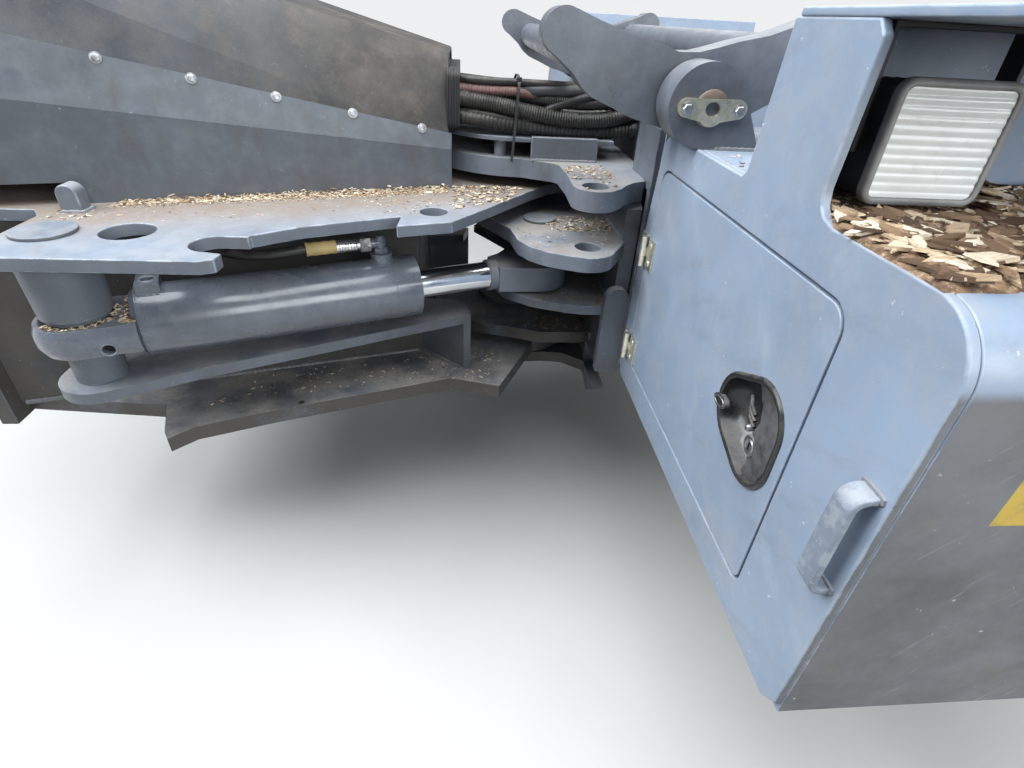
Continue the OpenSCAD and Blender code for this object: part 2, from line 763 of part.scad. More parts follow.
hinge_heights = [127, -66];
knuckle_r = 6;
leaf_t = 3;
leaf_h = 54;
module door_hinges() {
    color(zinc) both_sides() for (z = hinge_heights) {
        slab([box_x - leaf_t, hinge_axis.y + 9, z - leaf_h / 2], [box_x, hinge_axis.y + 35, z + leaf_h / 2]);
        for (s = [-1, 1]) translate([0, 0, z + s * leaf_h / 3]) {
            post(hinge_axis, knuckle_r, -leaf_h / 6 + 0.3, leaf_h / 6 - 0.3);
            slab([box_x - leaf_t, hinge_axis.y, -leaf_h / 6 + 0.3],
                [box_x, hinge_axis.y + 10, leaf_h / 6 - 0.3]);
        }
        post(hinge_axis, 2.5, z - leaf_h / 3, z + leaf_h / 3);
    }
}
module door_leaves() {
    color(zinc) for (z = hinge_heights) difference() {
        union() {
            post(hinge_axis, knuckle_r, z - leaf_h / 6, z + leaf_h / 6);
            slab([box_x - leaf_t, hinge_axis.y - 10, z - leaf_h / 6],
                [box_x - face_gap, hinge_axis.y, z + leaf_h / 6]);
            // The leaf follows the door's rounded corner
            wall_x(box_x - leaf_t, box_x) intersection() {
                translate([hinge_axis.y - 39, z - leaf_h / 2]) square([30, leaf_h]);
                door_outline();
            }
        }
        post(hinge_axis, 2.5 + pin_fit, z - leaf_h, z + leaf_h);
    }
}
module near_door_leaves() { door_leaves(); }
module far_door_leaves() { far_side() door_leaves(); }

latch_at = door_low + [63.5, 175.5];
latch_r = 50;
latch_corners = [[0, -18.5], [43, -2], [0, 18.5]];
module latch_outline(grow) { translate(latch_at) rounded_corners(latch_corners, latch_r + grow); }
module door() {
    color(steel) wall_x(box_x, box_x + door_t) difference() {
        door_outline();
        latch_outline(-6);
    }
}
module near_door() { door(); }
module far_door() { far_side() door(); }

module latch() {
    color(black) {
        difference() {
            union() {
                wall_x(box_x - 4, box_x) latch_outline(0);
                wall_x(box_x - 1, box_x + 30) latch_outline(-6.3);
            }
            wall_x(box_x - 5, box_x + 26) latch_outline(-12);
        }
        // Paddle across the bowl, which ends inside the bowl's wall
        wall_x(box_x - 2, box_x + 27) translate([latch_at.x - latch_r + 9, latch_at.y - 9])
            square([latch_corners[1].x + 2 * latch_r - 21, 20]);
    }
}
module near_latch() { latch(); }
module far_latch() { far_side() latch(); }

lamp_low = [256, -deck_wall_y - 121, box_top_z + 10];
lamp_high = [376, -deck_wall_y - 57, box_top_z + 118];
lamp_axis = [(lamp_low.x + lamp_high.x) / 2, -deck_wall_y - 83, box_top_z + 66];
module lamp_brackets() {
    top = deck_top_z - deck_t;
    color(black) both_sides() {
        slab([lamp_low.x - 9, lamp_axis.y - 12, top - 5], [lamp_high.x + 9, lamp_axis.y + 12, top]);
        for (x = [lamp_low.x - 9, lamp_high.x + 4])
            slab([x, lamp_axis.y - 12, lamp_axis.z - 14], [x + 5, lamp_axis.y + 12, top - 5]);
    }
}
module lamp_housing() {
    color(black) {
        wall_y(lamp_low.y + 4, lamp_high.y)
            round_rect([lamp_low.x, lamp_low.z], [lamp_high.x, lamp_high.z], 14);
        translate([lamp_low.x - 3.7, lamp_axis.y, lamp_axis.z]) rotate([0, 90, 0])
            cylinder(r=9, h=lamp_high.x - lamp_low.x + 7.4);
    }
}
module near_lamp_housing() { lamp_housing(); }
module far_lamp_housing() { far_side() lamp_housing(); }
module lamp_lens() {
    color("lightcyan") wall_y(lamp_low.y, lamp_low.y + 4)
        round_rect([lamp_low.x + 6, lamp_low.z + 6], [lamp_high.x - 6, lamp_high.z - 6], 11);
}
module near_lamp_lens() { lamp_lens(); }
module far_lamp_lens() { far_side() lamp_lens(); }

cradle_axis = [212, 376];
bearing_y = [-545, -485];
cheek_y = [-480, -425];
bearing_r = 54;
cradle_pin_r = 24;
module cradle_bearings() {
    color(steel) both_sides() {
        difference() {
            wall_y(bearing_y[0], bearing_y[1]) {
                translate(cradle_axis) circle(bearing_r);
                polygon([[box_x + front_t, box_top_z], [cradle_axis.x + 88, box_top_z],
                    [cradle_axis.x + bearing_r - 3, cradle_axis.y + 18], cradle_axis]);
            }
            slab([0, -big, 0], [big, 0, box_top_z]);
        }
        wall_y(bearing_y[1] - 10, cheek_y[1] + 5) translate(cradle_axis) circle(cradle_pin_r);
    }
}
module cheek() {
    difference() {
        union() {
            translate(cradle_axis) circle(48);
            for (c = cradle_tips) translate(c) circle(30);
            polygon([[-6, 434], [34, 403], [48, 386], [64, 374], [93, 363], [125, 350], [cradle_axis.x, 328],
                [268, 340], [330, 376], [370, 410], [cradle_tips[1].x + 30, cradle_tips[1].y],
                [cradle_tips[1].x, cradle_tips[1].y + 30], [305, 461], [264, 452], [237, 444], [210, 437],
                [181, 436], [151, 445], [122, 451], [92, 459], [63, 468], [32, 479]]);
        }
        translate(cradle_axis) circle(cradle_pin_r + pin_fit);
    }
}
// Rounded ends of the two arms, and the cross tubes that join the two cheeks
cradle_tips = [[18, 452], [390, 462]];
cradle_tubes = [[66, 424], [348, 436]];
cradle_tube_r = 28;
module cradle() {
    color(dark) {
        both_sides() wall_y(cheek_y[0], cheek_y[1]) cheek();
        wall_y(cheek_y[1] - 5, -cheek_y[1] + 5) for (c = cradle_tubes) translate(c) circle(cradle_tube_r);
    }
}

at_joint() rear_end_plate();
at_joint() rear_upper_plate();
at_joint() rear_lower_plate();
at_joint() rear_webs();
at_joint() shelves();
at_joint() base_bosses();
at_joint() base_pins();
at_joint() cover_lugs();
at_joint() near_side_cover();
at_joint() far_side_cover();
at_joint() hood();
at_joint() rear_hose_plate();
at_joint() near_barrel();
at_joint() far_barrel();
at_joint() near_rod();
at_joint() far_rod();
at_joint() front_top_arm();
at_joint() rod_clevis_plate();
at_joint() rod_lug_plate();
at_joint() front_lower_arm();
at_joint() front_bottom_arm();
at_joint() hinge_pins();
at_joint() rod_pin_heads();
at_joint() front_end_plate();
at_joint() front_beam();
at_joint() front_flange();
at_joint() hose_carrier();
at_joint() front_hose_plate();
at_joint() joint_hoses();
at_joint() near_box_front();
at_joint() far_box_front();
at_joint() near_box_body();
at_joint() far_box_body();
at_joint() near_deck();
at_joint() far_deck();
at_joint() grab_handles();
at_joint() door_hinges();
at_joint() lamp_brackets();
at_joint() cradle_bearings();
at_joint() near_door();
at_joint() far_door();
at_joint() near_latch();
at_joint() far_latch();
at_joint() near_door_leaves();
at_joint() far_door_leaves();
at_joint() near_lamp_housing();
at_joint() far_lamp_housing();
at_joint() near_lamp_lens();
at_joint() far_lamp_lens();
at_joint() cradle();
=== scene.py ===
import json
import math
import random

import bmesh
import bpy
from mathutils import Matrix, Vector, noise


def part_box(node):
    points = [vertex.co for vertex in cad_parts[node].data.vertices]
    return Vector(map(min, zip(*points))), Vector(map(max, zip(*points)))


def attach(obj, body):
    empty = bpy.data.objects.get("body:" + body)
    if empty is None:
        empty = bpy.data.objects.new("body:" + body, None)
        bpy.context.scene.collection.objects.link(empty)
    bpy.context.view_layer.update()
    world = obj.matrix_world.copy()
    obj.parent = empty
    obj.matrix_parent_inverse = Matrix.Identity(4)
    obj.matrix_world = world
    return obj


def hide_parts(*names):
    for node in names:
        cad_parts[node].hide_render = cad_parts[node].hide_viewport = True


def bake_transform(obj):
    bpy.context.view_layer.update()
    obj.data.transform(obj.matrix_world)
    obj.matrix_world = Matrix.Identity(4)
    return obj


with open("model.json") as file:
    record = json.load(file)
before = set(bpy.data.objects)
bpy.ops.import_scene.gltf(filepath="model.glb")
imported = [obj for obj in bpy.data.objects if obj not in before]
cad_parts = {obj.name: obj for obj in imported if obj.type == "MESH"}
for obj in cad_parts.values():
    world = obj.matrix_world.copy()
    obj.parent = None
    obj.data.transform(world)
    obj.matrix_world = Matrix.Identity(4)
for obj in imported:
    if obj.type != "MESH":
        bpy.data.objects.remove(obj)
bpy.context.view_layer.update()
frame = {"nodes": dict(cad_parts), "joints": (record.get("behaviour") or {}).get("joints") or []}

# Places that the frame gives. Lengths are metres; near is the -Y side, and pieces are drawn for it
JOINTS = {j["name"]: j for j in frame["joints"]}
PIVOT_X = JOINTS["steer"]["pos_m"][0]
UPPER_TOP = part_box("cover_lugs")[0].z
EAR_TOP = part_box("front_top_arm")[1].z
CLEVIS_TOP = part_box("rod_clevis_plate")[1].z
LUG_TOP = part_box("rod_lug_plate")[1].z
LOWER_ARM_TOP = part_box("front_lower_arm")[1].z
SHELF_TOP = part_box("shelves")[1].z
LOWER_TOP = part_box("shelves")[0].z
BOX_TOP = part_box("near_box_body")[1].z
BOX_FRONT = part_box("near_box_front")[0].x - PIVOT_X
CARRIER_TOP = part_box("hose_carrier")[1].z
SIDES = ("near", "far")
# The steering cylinder: stations along it are from its base pin
BASE_PIN = Vector(JOINTS["near_barrel_swing"]["pos_m"])
CYL_WAY = Vector(JOINTS["near_rod_slide"]["axis"]).normalized()
CYL_SIDE = Vector((CYL_WAY.y, -CYL_WAY.x, 0))


def at(x, y, z):
    """A point given from the steering axis, in the row frame."""
    return Vector((PIVOT_X + x, y, z))


# Camera, at the photograph's angle
CAMERA_PLACE = (0.880, -1.360, 0.466)
CAMERA_TURN = (56.4011, -2.8593, -4.2084)
CAMERA_LENS = 19.48


def new_object(name, data):
    made = bpy.data.objects.new(name, data)
    bpy.context.scene.collection.objects.link(made)
    return made


def mesh_object(name, bm):
    mesh = bpy.data.meshes.new(name)
    bm.to_mesh(mesh)
    bm.free()
    return new_object(name, mesh)


def make_camera():
    data = bpy.data.cameras.new("camera")
    data.lens = CAMERA_LENS
    data.sensor_width = 36
    data.clip_start = 0.02
    camera = new_object("camera", data)
    camera.location = CAMERA_PLACE
    camera.rotation_euler = [math.radians(a) for a in CAMERA_TURN]
    bpy.context.scene.camera = camera


# Shader graphs: most methods add one node and give its output
class Graph:
    def __init__(self, name):
        self.material = bpy.data.materials.new(name)
        self.material.use_nodes = True
        self.tree = self.material.node_tree
        self.shader = self.tree.nodes["Principled BSDF"]
        self.coords = self.tree.nodes.new("ShaderNodeTexCoord")
        self.place = self.coords.outputs["Object"]

    def feed(self, socket, value):
        if isinstance(value, bpy.types.NodeSocket):
            self.tree.links.new(value, socket)
        else:
            socket.default_value = value

    def node(self, kind, output, inputs, **settings):
        """Adds a node, feeds its inputs by name or number, and gives one of its outputs."""
        node = self.tree.nodes.new(kind)
        for key, value in settings.items():
            setattr(node, key, value)
        for key, value in inputs.items():
            self.feed(node.inputs[key], value)
        return node.outputs[output]

    def part(self, axis):
        return self.node("ShaderNodeSeparateXYZ", axis, {0: self.place})

    def facing(self, axis):
        """How far the surface faces along an axis, from -1 to 1, in the body's own frame."""
        return self.node("ShaderNodeSeparateXYZ", axis, {0: self.coords.outputs["Normal"]})

    def up(self):
        return self.facing("Z")

    def stretched(self, scale, turn=(0, 0, 0)):
        """Coordinates turned, then stretched by a scale for each axis."""
        angles = [math.radians(a) for a in turn]
        turned = self.node("ShaderNodeMapping", 0, {"Vector": self.place, "Rotation": angles})
        return self.node("ShaderNodeMapping", 0, {"Vector": turned, "Scale": scale})

    def noise(self, scale, detail, rough, where=None, bend=0.0):
        return self.node("ShaderNodeTexNoise", 0, {"Vector": where or self.place, "Scale": scale, "Detail": detail,
                                                   "Roughness": rough, "Distortion": bend})

    def fit(self, value, low, high, out_low=0.0, out_high=1.0):
        """Maps low..high to out_low..out_high, smoothly and clamped."""
        ends = {"From Min": low, "From Max": high, "To Min": out_low, "To Max": out_high}
        return self.node("ShaderNodeMapRange", 0, {"Value": value, **ends}, interpolation_type="SMOOTHSTEP")

    def patch(self, scale, detail, rough, low, high, out_low=0.0, out_high=1.0):
        """Noise fitted to a range: cloudy where low and high lie apart, spotty where they are close."""
        return self.fit(self.noise(scale, detail, rough), low, high, out_low, out_high)

    def streaks(self, scale, detail, rough, low, high, turn=(0, 0, 0), out_high=1.0, bend=0.0):
        """Fitted noise drawn out by a scale for each axis, after a turn in degrees."""
        drawn = self.noise(1.0, detail, rough, self.stretched(scale, turn), bend)
        return self.fit(drawn, low, high, 0.0, out_high)

    def math(self, operation, a, b=0.0):
        return self.node("ShaderNodeMath", 0, {0: a, 1: b}, operation=operation)

    def chain(self, operation, values):
        out = values[0]
        for value in values[1:]:
            out = self.math(operation, out, value)
        return out

    def times(self, *values):
        return self.chain("MULTIPLY", values)

    def largest(self, *values):
        return self.chain("MAXIMUM", values)

    def vector_math(self, operation, *vectors):
        output = "Value" if operation in ("DISTANCE", "DOT_PRODUCT", "LENGTH") else "Vector"
        return self.node("ShaderNodeVectorMath", output, dict(enumerate(vectors)), operation=operation)

    def mix(self, share, *colours):
        a, b = (c if isinstance(c, bpy.types.NodeSocket) else (*c, 1) for c in colours)
        return self.node("ShaderNodeMix", 2, {0: share, 6: a, 7: b}, data_type="RGBA")

    def blend(self, share, a, b):
        return self.node("ShaderNodeMix", 0, {0: share, 2: a, 3: b}, data_type="FLOAT")

    def bump(self, height, strength, distance, under=None):
        inputs = {"Height": height, "Strength": strength, "Distance": distance}
        return self.node("ShaderNodeBump", 0, inputs if under is None else {**inputs, "Normal": under})

    def finish(self, colour, rough, normal=None, **plain):
        inputs = {"Base Color": colour, "Roughness": rough, **plain}
        if normal is not None:
            inputs["Normal"] = normal
        for key, value in inputs.items():
            self.feed(self.shader.inputs[key.replace("_", " ")], value)
        return self.material


# The side covers' foot: how fast its side grows to the rear, and the constant of its line
COVER_SLOPE = 0.2894
COVER_LINE = 0.207 + (PIVOT_X - 0.142) * COVER_SLOPE
# Reach of the dust that lies along the foot: full up to the first distance, none from the second on
TRAIL_FULL, TRAIL_END = 0.15, 0.33
# Painted shade round the base pin, under the rim of its boss: it fades from the inner radius to the outer one
BOSS_RIM_SHADE_R = (0.0510, 0.0565)
DUST = (0.36, 0.335, 0.31)
FOOT_DUST = (0.232, 0.178, 0.132)
CAKED_DUST = (0.265, 0.230, 0.195)
# Dark mix for grime smears, for painted shade on undersides and upright faces, and for darkening towards the
# bottom
GRIME_AND_SHADE = (0.070, 0.062, 0.055)
# Colour of the painted shade under the boss's rim
BOSS_RIM_SHADE = (0.018, 0.017, 0.016)
SCUFF = (0.44, 0.49, 0.55)
# Turn in degrees and stretch of each family of scratches
PAINT_SCRATCHES = (((0, 35, 20), (5, 150, 150)), ((70, 10, -40), (7, 190, 190)), ((10, -30, 75), (9, 240, 240)))
BOX_SCRATCHES = (((20, 0, 35), (150, 6, 150)), ((-40, 0, 0), (190, 190, 8)))
HOOD_SCRATCHES = (((0, 25, 15), (14, 120, 120)), ((60, 0, 40), (150, 18, 120)))


def tinted(colour, factor):
    return tuple(c * factor for c in colour)


def add_caked_dust(g, base, lying, amount):
    """Thick dust in cakes on flat tops. Gives the new colour and how much dust lies."""
    cake = g.times(g.patch(8, 8, 0.68, 0.36, 0.60), g.patch(120, 6, 0.75, 0.28, 0.62, 0.4, 1.0),
                   g.fit(g.up(), 0.5, 0.95), amount)
    return g.mix(cake, base, CAKED_DUST), g.largest(lying, cake)


def add_foot_trail(g, base, lying):
    """Earth along the side covers' foot, ragged where it ends. Gives colour and dust."""
    away = g.math("ADD", g.math("ABSOLUTE", g.part("Y")), g.times(g.part("X"), COVER_SLOPE))
    ragged = g.math("ADD", away, g.times(g.noise(11, 8, 0.68), 0.20))
    near_foot = g.fit(ragged, COVER_LINE + TRAIL_FULL, COVER_LINE + TRAIL_END, 1.0, 0.0)
    trail = g.times(near_foot, g.patch(95, 6, 0.75, 0.30, 0.60, 0.48, 1.0), g.fit(g.up(), 0.5, 0.95))
    return g.mix(g.times(trail, 0.92), base, FOOT_DUST), g.largest(lying, trail)


def add_boss_rim_shade(g, base):
    """A dark ring of painted shade round the base pin, on top, where the boss's rim overhangs."""
    mirrored = g.vector_math("ABSOLUTE", g.vector_math("MULTIPLY", g.place, (1, 1, 0)))
    away = g.vector_math("DISTANCE", mirrored, (BASE_PIN.x, abs(BASE_PIN.y), 0))
    ring = g.times(g.fit(away, BOSS_RIM_SHADE_R[1], BOSS_RIM_SHADE_R[0]), g.patch(60, 5, 0.6, 0.25, 0.55, 0.55, 1.0))
    return g.mix(g.times(ring, g.fit(g.up(), 0.2, 0.9)), base, BOSS_RIM_SHADE)


def paint(name, colour, rough=0.42, dust=0.6, grime=0.35, scuff=0.5, edge=False, under=0.35, flank=0.4,
          trail=False, boss_rim_shade=False, powdery=0.0, coat=0.0):
    """Satin machine paint: cloudy tone, dust on top, painted shade below, rubbed scratches and chips.

    The shares from 0 to 1: dust on tops, grime in smears, scuff of scratches and chips, under of painted
    shade on undersides, flank of grime and painted shade on upright faces, powdery of caked dust, coat of clear
    gloss.
    """
    g = Graph(name)
    cloud = g.patch(3.5, 8, 0.62, 0.3, 0.72)
    base = g.mix(cloud, tinted(colour, 0.82), tinted(colour, 1.16))
    blot = g.patch(28, 8, 0.7, 0.40, 0.72, 0.0, 0.22)
    base = g.mix(blot, base, tinted(SCUFF, 0.62))
    smear = g.streaks((24, 24, 7), 7, 0.6, 0.50, 0.78)
    base = g.mix(g.times(smear, grime), base, GRIME_AND_SHADE)
    # Painted shade on faces that look down
    below = g.times(g.fit(g.up(), 0.45, -0.35), g.patch(9, 9, 0.7, 0.28, 0.66), under)
    # Darker towards the bottom
    low = g.times(g.fit(g.part("Z"), 0.06, -0.20, 0.0, 0.75), g.patch(7, 8, 0.68, 0.22, 0.60))
    # Upright faces darker: grime and painted shade
    steep = g.fit(g.math("ABSOLUTE", g.up()), 0.80, 0.35)
    upright = g.times(steep, g.patch(12, 8, 0.68, 0.18, 0.50), flank)
    base = g.mix(g.largest(below, low, upright), base, GRIME_AND_SHADE)
    fine = g.patch(160, 4, 0.7, 0.3, 0.75, 0.55, 1.0)
    lying = g.times(g.fit(g.up(), 0.25, 0.95), g.patch(11, 10, 0.68, 0.34, 0.66), fine, dust)
    rubs = [g.streaks(stretch, 3, 0.5, 0.69, 0.80, turn) for turn, stretch in PAINT_SCRATCHES]
    rub = g.times(g.largest(*rubs), g.patch(7, 3, 0.5, 0.44, 0.60), scuff)
    chip = g.times(g.patch(75, 3, 0.6, 0.72, 0.745), scuff)
    base = g.mix(g.largest(rub, chip), base, SCUFF)
    # Lighter rounded edges: worn paint and painted highlight
    if edge:
        worn_and_highlit = g.patch(38, 6, 0.7, 0.44, 0.60)
        base = g.mix(g.times(worn_and_highlit, 0.6), base, tinted(SCUFF, 0.85))
    base = g.mix(lying, base, DUST)
    if powdery:
        base, lying = add_caked_dust(g, base, lying, powdery)
    if trail:
        base, lying = add_foot_trail(g, base, lying)
    # Painted shade under the rim of the base pin's boss
    if boss_rim_shade:
        base = add_boss_rim_shade(g, base)
    gloss = g.patch(18, 5, 0.6, 0.3, 0.7, rough - 0.10, rough + 0.12)
    gloss = g.blend(lying, gloss, 0.92)
    peel = g.bump(g.noise(420, 2, 0.5), 0.12, 0.0006)
    dents = g.bump(g.noise(5, 3, 0.5), 0.30, 0.004, peel)
    relief = g.bump(g.times(fine, lying), 0.35, 0.0008, dents)
    return g.finish(base, gloss, relief, Specular_IOR_Level=0.5, Coat_Weight=coat, Coat_Roughness=0.14)


# The boxes' paint, the darker coat of their outer sides, and the blank yellow patch there: its span
# in x and in z
BOX_COLOUR = (0.262, 0.336, 0.448)
SIDE_COLOUR = (0.122, 0.126, 0.135)
SIDE_PATCH = ((PIVOT_X + 0.305, PIVOT_X + 0.385), (0.141, 0.201))


def side_coat(g):
    """Dark coat with mud and slanted strokes, and the yellow patch. Gives where it is, and its colour."""
    where = g.times(g.fit(g.math("ABSOLUTE", g.facing("Y")), 0.80, 0.97),
                    g.fit(g.math("ABSOLUTE", g.part("Y")), 1.0, 1.06), g.fit(g.part("Z"), 0.275, 0.262))
    dark = g.mix(g.patch(5, 9, 0.7, 0.3, 0.7), tinted(SIDE_COLOUR, 0.8), tinted(SIDE_COLOUR, 1.5))
    mud = g.patch(13, 9, 0.7, 0.50, 0.72, 0.0, 0.45)
    dark = g.mix(mud, dark, (0.19, 0.175, 0.155))
    strokes = g.streaks((11, 11, 95), 4, 0.55, 0.62, 0.76, turn=(0, 52, 0), bend=0.6)
    dark = g.mix(g.times(strokes, 0.55), dark, (0.27, 0.28, 0.30))
    inside = []
    for axis, (low, high) in zip("XZ", SIDE_PATCH):
        inside += [g.math("GREATER_THAN", g.part(axis), low), g.math("LESS_THAN", g.part(axis), high)]
    yellow = g.mix(g.patch(34, 8, 0.7, 0.40, 0.70), (0.56, 0.40, 0.075), (0.33, 0.25, 0.085))
    return where, g.mix(g.times(*inside), dark, yellow)


def box_paint(name, edge=False):
    """The boxes' lighter paint, whose outer sides are dark and scratched all over."""
    g = Graph(name)
    cloud = g.patch(2.6, 8, 0.6, 0.3, 0.72)
    base = g.mix(cloud, tinted(BOX_COLOUR, 0.88), tinted(BOX_COLOUR, 1.12))
    blush = g.patch(6.5, 8, 0.66, 0.46, 0.74, 0.0, 0.50)
    base = g.mix(blush, base, (0.34, 0.33, 0.35))
    wipes = g.streaks((9, 5, 26), 6, 0.62, 0.50, 0.75, turn=(25, 0, 0), out_high=0.42)
    base = g.mix(wipes, base, (0.19, 0.215, 0.25))
    mottle = g.patch(36, 9, 0.76, 0.42, 0.66, 0.0, 0.30)
    base = g.mix(mottle, base, (0.37, 0.385, 0.44))
    haze = g.streaks((14, 14, 8), 8, 0.68, 0.50, 0.78, turn=(40, 0, 0), out_high=0.45)
    base = g.mix(haze, base, (0.42, 0.49, 0.58))
    side, side_colour = side_coat(g)
    base = g.mix(side, base, side_colour)
    rubs = [g.streaks(stretch, 3, 0.5, 0.71, 0.80, turn) for turn, stretch in BOX_SCRATCHES]
    rub = g.times(g.largest(*rubs), g.patch(5, 4, 0.5, 0.46, 0.60), 0.65)
    chip = g.patch(62, 3, 0.6, 0.70, 0.73, 0.0, 0.8)
    base = g.mix(g.largest(rub, chip), base, (0.55, 0.60, 0.66))
    # Lighter rounded edges: worn paint and painted highlight
    if edge:
        worn_and_highlit = g.patch(30, 6, 0.7, 0.42, 0.60)
        base = g.mix(g.times(worn_and_highlit, 0.5), base, (0.40, 0.46, 0.54))
    fine = g.patch(150, 4, 0.7, 0.3, 0.75, 0.5, 1.0)
    lying = g.times(g.fit(g.up(), 0.25, 0.95), g.patch(9, 10, 0.66, 0.38, 0.68), fine, 0.55)
    base = g.mix(lying, base, DUST)
    gloss = g.patch(14, 6, 0.6, 0.3, 0.7, 0.32, 0.50)
    gloss = g.blend(g.largest(lying, g.times(side, 0.6)), gloss, 0.88)
    relief = g.bump(g.noise(380, 2, 0.5), 0.10, 0.0006)
    relief = g.bump(g.noise(3.0, 2, 0.5), 0.35, 0.004, relief)
    return g.finish(base, gloss, relief, Specular_IOR_Level=0.5)


def hood_coat(name):
    """Textured dark coating with dried dirt and pale specks."""
    g = Graph(name)
    base = g.mix(g.patch(6, 9, 0.65, 0.3, 0.7), (0.048, 0.054, 0.063), (0.100, 0.107, 0.118))
    brown = g.mix(g.patch(9, 9, 0.7, 0.3, 0.7), (0.030, 0.028, 0.027), (0.082, 0.074, 0.066))
    base = g.mix(g.fit(g.part("X"), PIVOT_X - 0.62, PIVOT_X - 0.30, 0.0, 0.9), base, brown)
    dirt = g.patch(16, 10, 0.72, 0.46, 0.72)
    high = g.fit(g.up(), -0.1, 0.9, 0.45, 0.95)
    base = g.mix(g.times(dirt, high, 0.75), base, (0.165, 0.145, 0.125))
    specks = g.times(g.patch(310, 5, 0.75, 0.54, 0.72), g.patch(23, 6, 0.7, 0.42, 0.66))
    base = g.mix(g.times(specks, 0.45), base, (0.25, 0.24, 0.225))
    for turn, stretch in HOOD_SCRATCHES:
        scratch = g.streaks(stretch, 4, 0.6, 0.64, 0.78, turn, bend=0.4)
        base = g.mix(g.times(scratch, g.patch(6, 4, 0.6, 0.42, 0.62), 0.5), base, (0.30, 0.265, 0.23))
    grain = g.bump(g.noise(300, 5, 0.7), 0.45, 0.0012)
    return g.finish(base, g.fit(dirt, 0, 1, 0.58, 0.85), grain, Specular_IOR_Level=0.4)


# Where a rod's chrome ends and its painted neck begins, from the base pin along the cylinder
CHROME_END = 0.697


def rod_finish(name, side):
    """Chrome along the rod, paint on its neck and eye."""
    g = Graph(name)
    swing = Vector(JOINTS[f"{side}_barrel_swing"]["pos_m"])
    along = Vector(JOINTS[f"{side}_rod_slide"]["axis"]).normalized()
    station = g.math("SUBTRACT", g.vector_math("DOT_PRODUCT", g.place, along), swing.dot(along))
    painted = g.math("GREATER_THAN", station, CHROME_END)
    cloud = g.mix(g.patch(5, 8, 0.6, 0.3, 0.7), (0.17, 0.19, 0.225), (0.23, 0.255, 0.30))
    lying = g.times(g.fit(g.up(), 0.3, 0.95), g.patch(14, 9, 0.66, 0.35, 0.65), 0.7)
    cloud = g.mix(lying, cloud, DUST)
    film = g.streaks((60, 60, 60), 5, 0.6, 0.45, 0.8, out_high=0.25)
    chrome = g.mix(film, (0.80, 0.81, 0.83), (0.42, 0.38, 0.34))
    base = g.mix(painted, chrome, cloud)
    metal = g.math("SUBTRACT", 1.0, painted)
    rough = g.blend(painted, g.patch(30, 5, 0.6, 0.3, 0.7, 0.10, 0.20), 0.5)
    relief = g.bump(g.noise(400, 2, 0.5), 0.05, 0.0004)
    return g.finish(base, rough, relief, Metallic=metal)


STAIN = (0.30, 0.25, 0.16)
PLASTIC_DUST = (0.23, 0.21, 0.185)


def metal(name, colour, rough=0.35, stained=0.35):
    """Plated or bare metal with stains."""
    g = Graph(name)
    base = g.mix(g.patch(60, 6, 0.65, 0.35, 0.7), tinted(colour, 0.82), tinted(colour, 1.08))
    base = g.mix(g.times(g.patch(130, 6, 0.7, 0.52, 0.70), stained), base, STAIN)
    gloss = g.patch(90, 5, 0.6, 0.3, 0.7, rough - 0.08, rough + 0.14)
    relief = g.bump(g.noise(500, 3, 0.6), 0.15, 0.0005)
    return g.finish(base, gloss, relief, Metallic=0.9)


def plastic(name, colour, rough=0.5, dusty=0.5, mottle=0.0):
    """Moulded plastic or rubber with dust that settles on top."""
    g = Graph(name)
    base = g.mix(g.patch(20, 6, 0.6, 0.3, 0.7), tinted(colour, 0.75), tinted(colour, 1.3))
    if mottle:
        base = g.mix(g.times(g.patch(34, 8, 0.7, 0.40, 0.62), mottle), base, tinted(colour, 0.30))
    lying = g.times(g.fit(g.up(), -0.2, 0.9), g.patch(45, 8, 0.7, 0.40, 0.68), dusty)
    base = g.mix(lying, base, PLASTIC_DUST)
    relief = g.bump(g.noise(350, 3, 0.6), 0.2, 0.0006)
    return g.finish(base, g.blend(lying, rough, 0.9), relief, Specular_IOR_Level=0.45)


def chip_wood(name):
    """Wood chips and bark: each piece has its own tone, from cream to dark bark."""
    g = Graph(name)
    ramp = g.tree.nodes.new("ShaderNodeValToRGB")
    g.feed(ramp.inputs[0], g.node("ShaderNodeAttribute", "Fac", {}, attribute_name="tone"))
    stops = ((0.0, (0.060, 0.040, 0.028)), (0.28, (0.165, 0.105, 0.065)), (0.50, (0.42, 0.290, 0.180)),
             (0.74, (0.64, 0.51, 0.35)), (1.0, (0.88, 0.81, 0.66)))
    for i, (place, colour) in enumerate(stops):
        stop = ramp.color_ramp.elements[i] if i < 2 else ramp.color_ramp.elements.new(place)
        stop.position = place
        stop.color = (*colour, 1)
    ramp.color_ramp.elements[1].position = stops[1][0]
    grain = g.noise(1.0, 4, 0.6, g.stretched((90, 700, 700)))
    base = g.mix(g.fit(grain, 0.35, 0.7, 0.0, 0.45), ramp.outputs[0], (0.13, 0.08, 0.05))
    relief = g.bump(grain, 0.4, 0.0008)
    return g.finish(base, 0.8, relief, Specular_IOR_Level=0.25)


def litter(name):
    """Packed bark dust and needles under the chips."""
    g = Graph(name)
    base = g.mix(g.patch(55, 8, 0.7, 0.32, 0.68), (0.120, 0.080, 0.058), (0.42, 0.27, 0.165))
    base = g.mix(g.patch(160, 6, 0.7, 0.50, 0.70), base, (0.64, 0.50, 0.34))
    base = g.mix(g.patch(24, 5, 0.6, 0.62, 0.74, 0.0, 0.6), base, (0.13, 0.14, 0.055))
    relief = g.bump(g.noise(170, 8, 0.75), 0.9, 0.004)
    return g.finish(base, 0.92, relief, Specular_IOR_Level=0.2)


